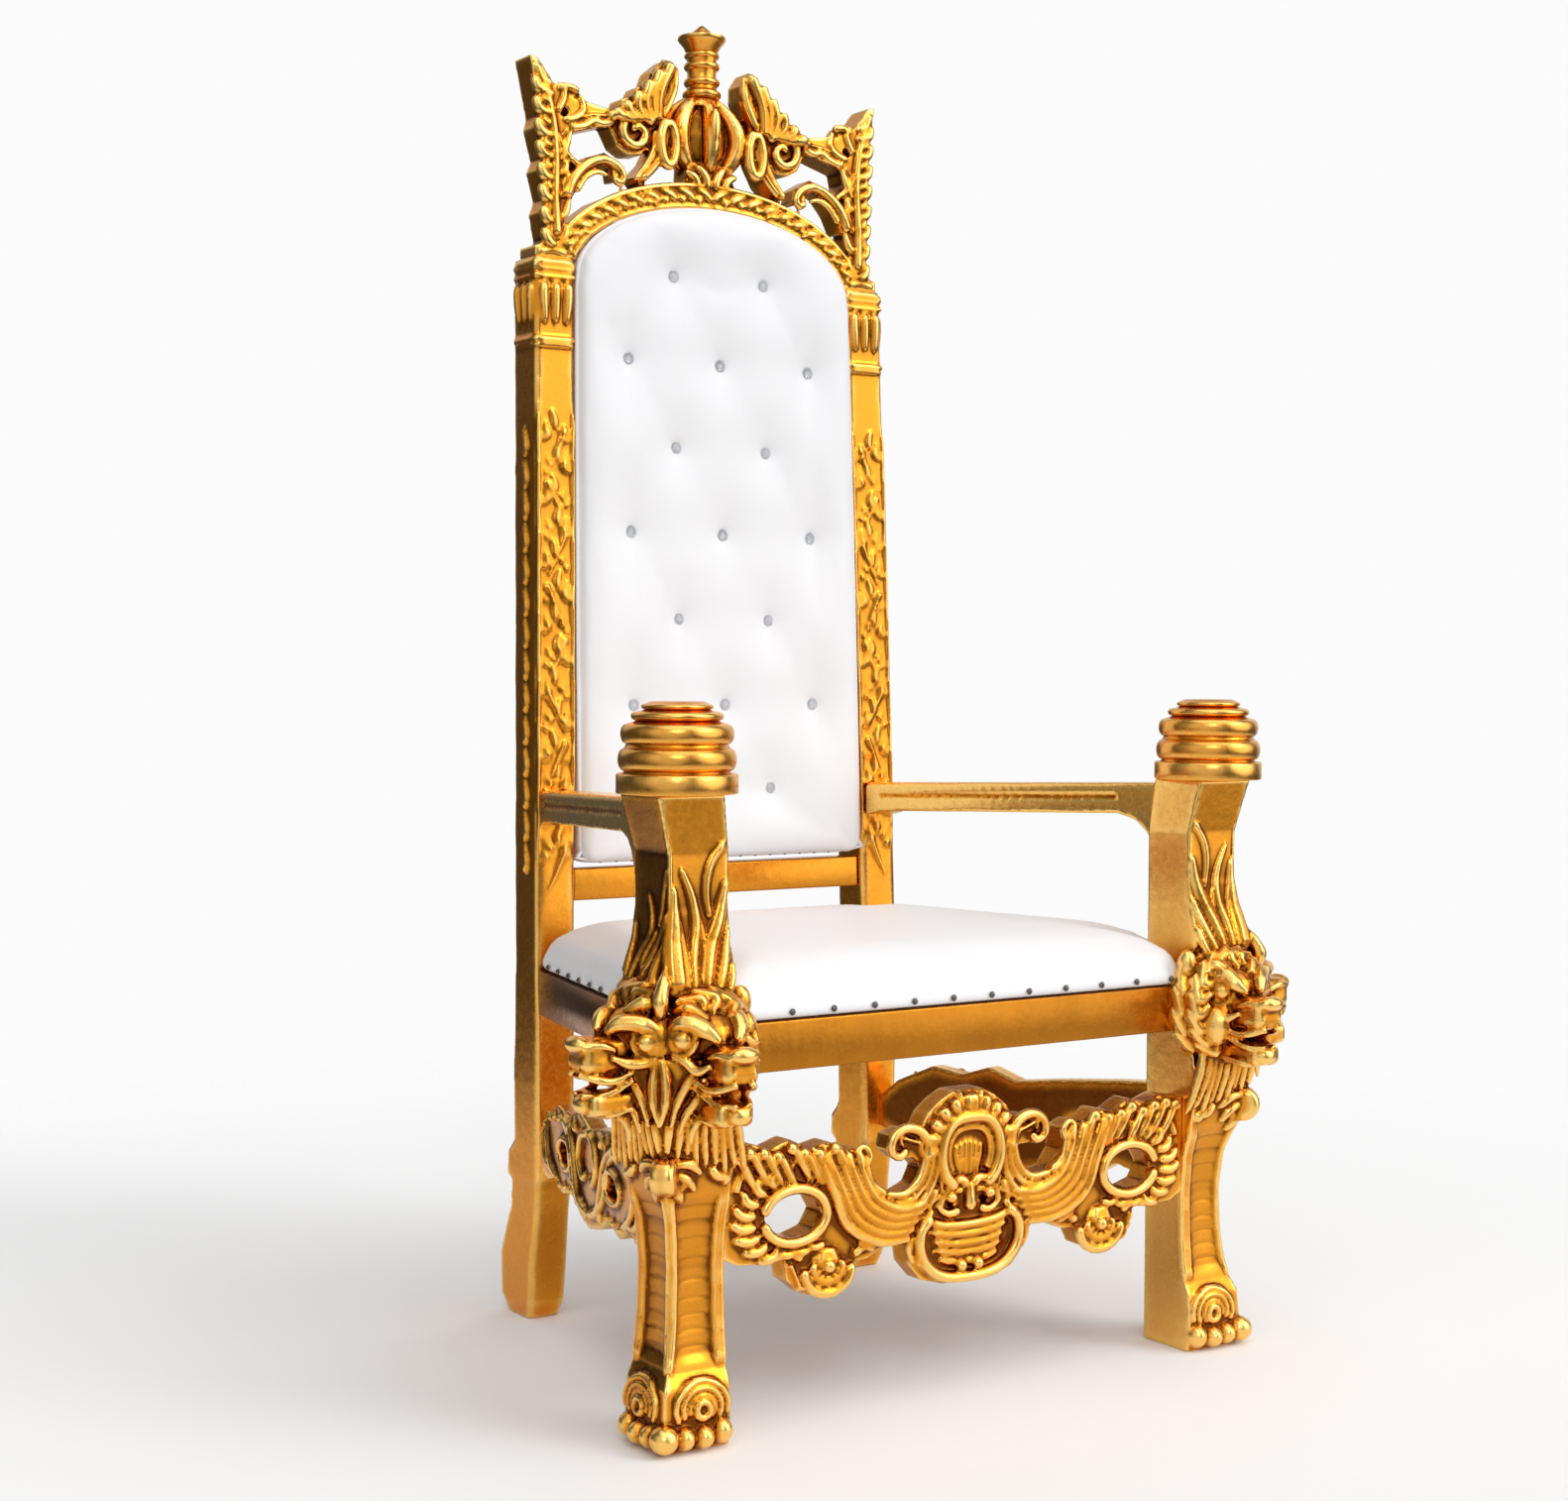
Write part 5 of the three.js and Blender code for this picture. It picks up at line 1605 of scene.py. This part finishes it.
def nail_spots():
    """Place and direction of every nail: the seat's front and sides, then the panel's foot."""
    proud, line = 0.0005, seat_low + 0.010
    front_half, front_count = corner_x - 0.030, 12
    spots = []
    for i in range(front_count):
        x = -front_half + 2 * front_half * i / (front_count - 1)
        spots.append(((x, seat_front - proud, line), (0, -1, 0)))
    back = Vector((STILE_AT_SEAT * MM + POST_HALF - 0.003, post_front))
    along = Vector((corner_x + 0.050, corner_y)) - back
    out = Vector((-along.y, along.x)).normalized()
    for i in range(1, 11):
        place = back + along * (i / 10.6) + out * proud
        for side in (-1, 1):
            spots.append(((side * place.x, place.y, line), (side * out.x, out.y, 0)))
    z = (PANEL_BOTTOM + 5) * MM
    y = panel_front - 0.0055 + lean_back(z)
    return spots + [((0.02565 * i, y, z), (0, -1, 0)) for i in range(-8, 9)]


class THRONE_OT_nails(bpy.types.Operator):
    """Drives the nails along the edges of the seat pad and the panel's foot"""

    bl_idname = "throne.nails"
    bl_label = "Nails"

    def execute(self, context):
        nails = joined("seat_nails", [nail_head(place, normal) for place, normal in nail_spots()])
        smooth_shade(nails)
        paint(nails, "nickel")
        hand_over(nails, "gilded_wood")
        return {"FINISHED"}


# ---- Stage ----
SKY = 0.11
# where each softbox hangs, its strength, and the angles where it fades out and where it is full
SOFTBOXES = (
    ((0.62, -0.72, 0.34), 2.15, 40, 16),
    ((0.50, -0.70, 0.55), 5.0, 13, 8),
    ((-0.70, -0.66, 0.30), 0.8, 52, 20),
    ((-0.45, -0.75, 0.50), 4.5, 12, 7),
    ((0.05, -0.25, 1.00), 1.9, 46, 14),
    ((0.80, 0.60, 0.30), 0.9, 42, 16),
    ((-1.00, 0.05, 0.45), 0.30, 34, 12),
    ((-0.10, 0.90, 0.55), 0.7, 30, 10),
)


class THRONE_OT_studio(bpy.types.Operator):
    """Sets the floor, the soft light and the camera"""

    bl_idname = "throne.studio"
    bl_label = "Studio"

    def execute(self, context):
        look = settings("studio")
        put_down()
        bpy.ops.mesh.primitive_circle_add(
            vertices=96, radius=3.0, fill_type="NGON", location=(0, 0, -0.0005))
        floor = bpy.context.object
        floor.name = "studio_floor"
        bpy.ops.object.transform_apply(location=True, rotation=False, scale=False)
        floor.data.materials.append(self.paper())
        self.camera(look)
        self.surroundings()
        context.scene.view_settings.view_transform = "Standard"
        return {"FINISHED"}

    def paper(self):
        """White paper that thins out to nothing at its rim."""
        made, tree, shader = fresh_material("studio_floor")
        coords = node(tree, "ShaderNodeTexCoord", (-900, 0))
        reach = node(tree, "ShaderNodeVectorMath", (-700, 0), {0: coords.outputs["Object"]},
                     operation="LENGTH")
        fade = node(tree, "ShaderNodeMapRange", (-500, 0), {
            "Value": reach.outputs["Value"], "From Min": 1.3, "From Max": 2.9,
            "To Min": 1.0, "To Max": 0.0}, interpolation_type="SMOOTHSTEP")
        feed(tree, shader, {
            "Base Color": (0.93, 0.93, 0.93, 1.0), "Roughness": 0.95,
            "Alpha": fade.outputs["Result"]})
        return made

    def camera(self, look):
        bpy.ops.object.camera_add(location=look.place)
        camera = bpy.context.object
        ahead = Vector((math.sin(look.heading) * math.cos(look.pitch),
                        math.cos(look.heading) * math.cos(look.pitch), -math.sin(look.pitch)))
        across = Vector((math.cos(look.heading), -math.sin(look.heading), 0))
        up = across.cross(ahead)
        right = across * math.cos(look.roll) + up * math.sin(look.roll)
        top = up * math.cos(look.roll) - across * math.sin(look.roll)
        turned = Matrix((right, top, -ahead)).transposed()
        camera.rotation_euler = turned.to_euler()
        camera.data.lens = look.lens
        camera.data.sensor_width = 36.0
        camera.data.dof.use_dof = False
        bpy.context.scene.camera = camera

    def surroundings(self):
        """Softboxes painted on the sky. The far left behind the chair stays dark."""
        world = bpy.context.scene.world or bpy.data.worlds.new("studio")
        bpy.context.scene.world = world
        world.use_nodes = True
        tree = world.node_tree
        tree.nodes.clear()
        coords = node(tree, "ShaderNodeTexCoord", (-1200, 0))
        total = SKY
        for i, (toward, strength, wide, core) in enumerate(SOFTBOXES):
            facing = node(tree, "ShaderNodeVectorMath", (-1000, -200 * i), {
                0: coords.outputs["Generated"], 1: Vector(toward).normalized()},
                operation="DOT_PRODUCT")
            glow = node(tree, "ShaderNodeMapRange", (-800, -200 * i), {
                "Value": facing.outputs["Value"], "From Min": math.cos(math.radians(wide)),
                "From Max": math.cos(math.radians(core)), "To Max": strength},
                interpolation_type="SMOOTHSTEP")
            total = node(tree, "ShaderNodeMath", (-600, -200 * i), {
                0: glow.outputs["Result"], 1: total}, operation="ADD").outputs["Value"]
        reflected = node(tree, "ShaderNodeBackground", (-300, 100), {"Strength": total})
        seen = node(tree, "ShaderNodeBackground", (-300, -100), {"Color": (0.97, 0.97, 0.97, 1.0)})
        path = node(tree, "ShaderNodeLightPath", (-300, 300))
        mix = node(tree, "ShaderNodeMixShader", (-100, 0), {
            "Fac": path.outputs["Is Camera Ray"], 1: reflected.outputs["Background"],
            2: seen.outputs["Background"]})
        node(tree, "ShaderNodeOutputWorld", (100, 0), {"Surface": mix.outputs["Shader"]})


# ---- Sidebar, registration and the run ----
OPERATORS = (
    THRONE_OT_studio, THRONE_OT_front_posts, THRONE_OT_turnings, THRONE_OT_crest,
    THRONE_OT_front_apron, THRONE_OT_side_aprons, THRONE_OT_back_posts, THRONE_OT_arms_and_rails,
    THRONE_OT_back_panel, THRONE_OT_buttons, THRONE_OT_seat_pad, THRONE_OT_nails,
)


class THRONE_PT_sidebar(bpy.types.Panel):
    """Lists the chair's settings and its steps"""

    bl_label = "Throne"
    bl_idname = "THRONE_PT_sidebar"
    bl_space_type = "VIEW_3D"
    bl_region_type = "UI"
    bl_category = "Throne"

    def draw(self, context):
        for kind in GROUPS:
            box = self.layout.box()
            box.label(text=kind.title())
            group = settings(kind)
            for key in group.__annotations__:
                box.prop(group, key)
        for step in OPERATORS:
            self.layout.operator(step.bl_idname)


GROUPS = {"gilt": GiltSettings, "leather": LeatherSettings, "carving": CarvingSettings,
          "studio": StudioSettings}
CLASSES = (*GROUPS.values(), *OPERATORS, THRONE_PT_sidebar)


def register():
    for made in CLASSES:
        bpy.utils.register_class(made)
    for kind, group in GROUPS.items():
        setattr(bpy.types.Scene, "throne_" + kind, bpy.props.PointerProperty(type=group))


def unregister():
    for kind in GROUPS:
        delattr(bpy.types.Scene, "throne_" + kind)
    for made in reversed(CLASSES):
        bpy.utils.unregister_class(made)


def main():
    register()
    for step in OPERATORS:
        family, name = step.bl_idname.split(".")
        getattr(getattr(bpy.ops, family), name)()
    put_down()


if __name__ == "__main__":
    main()
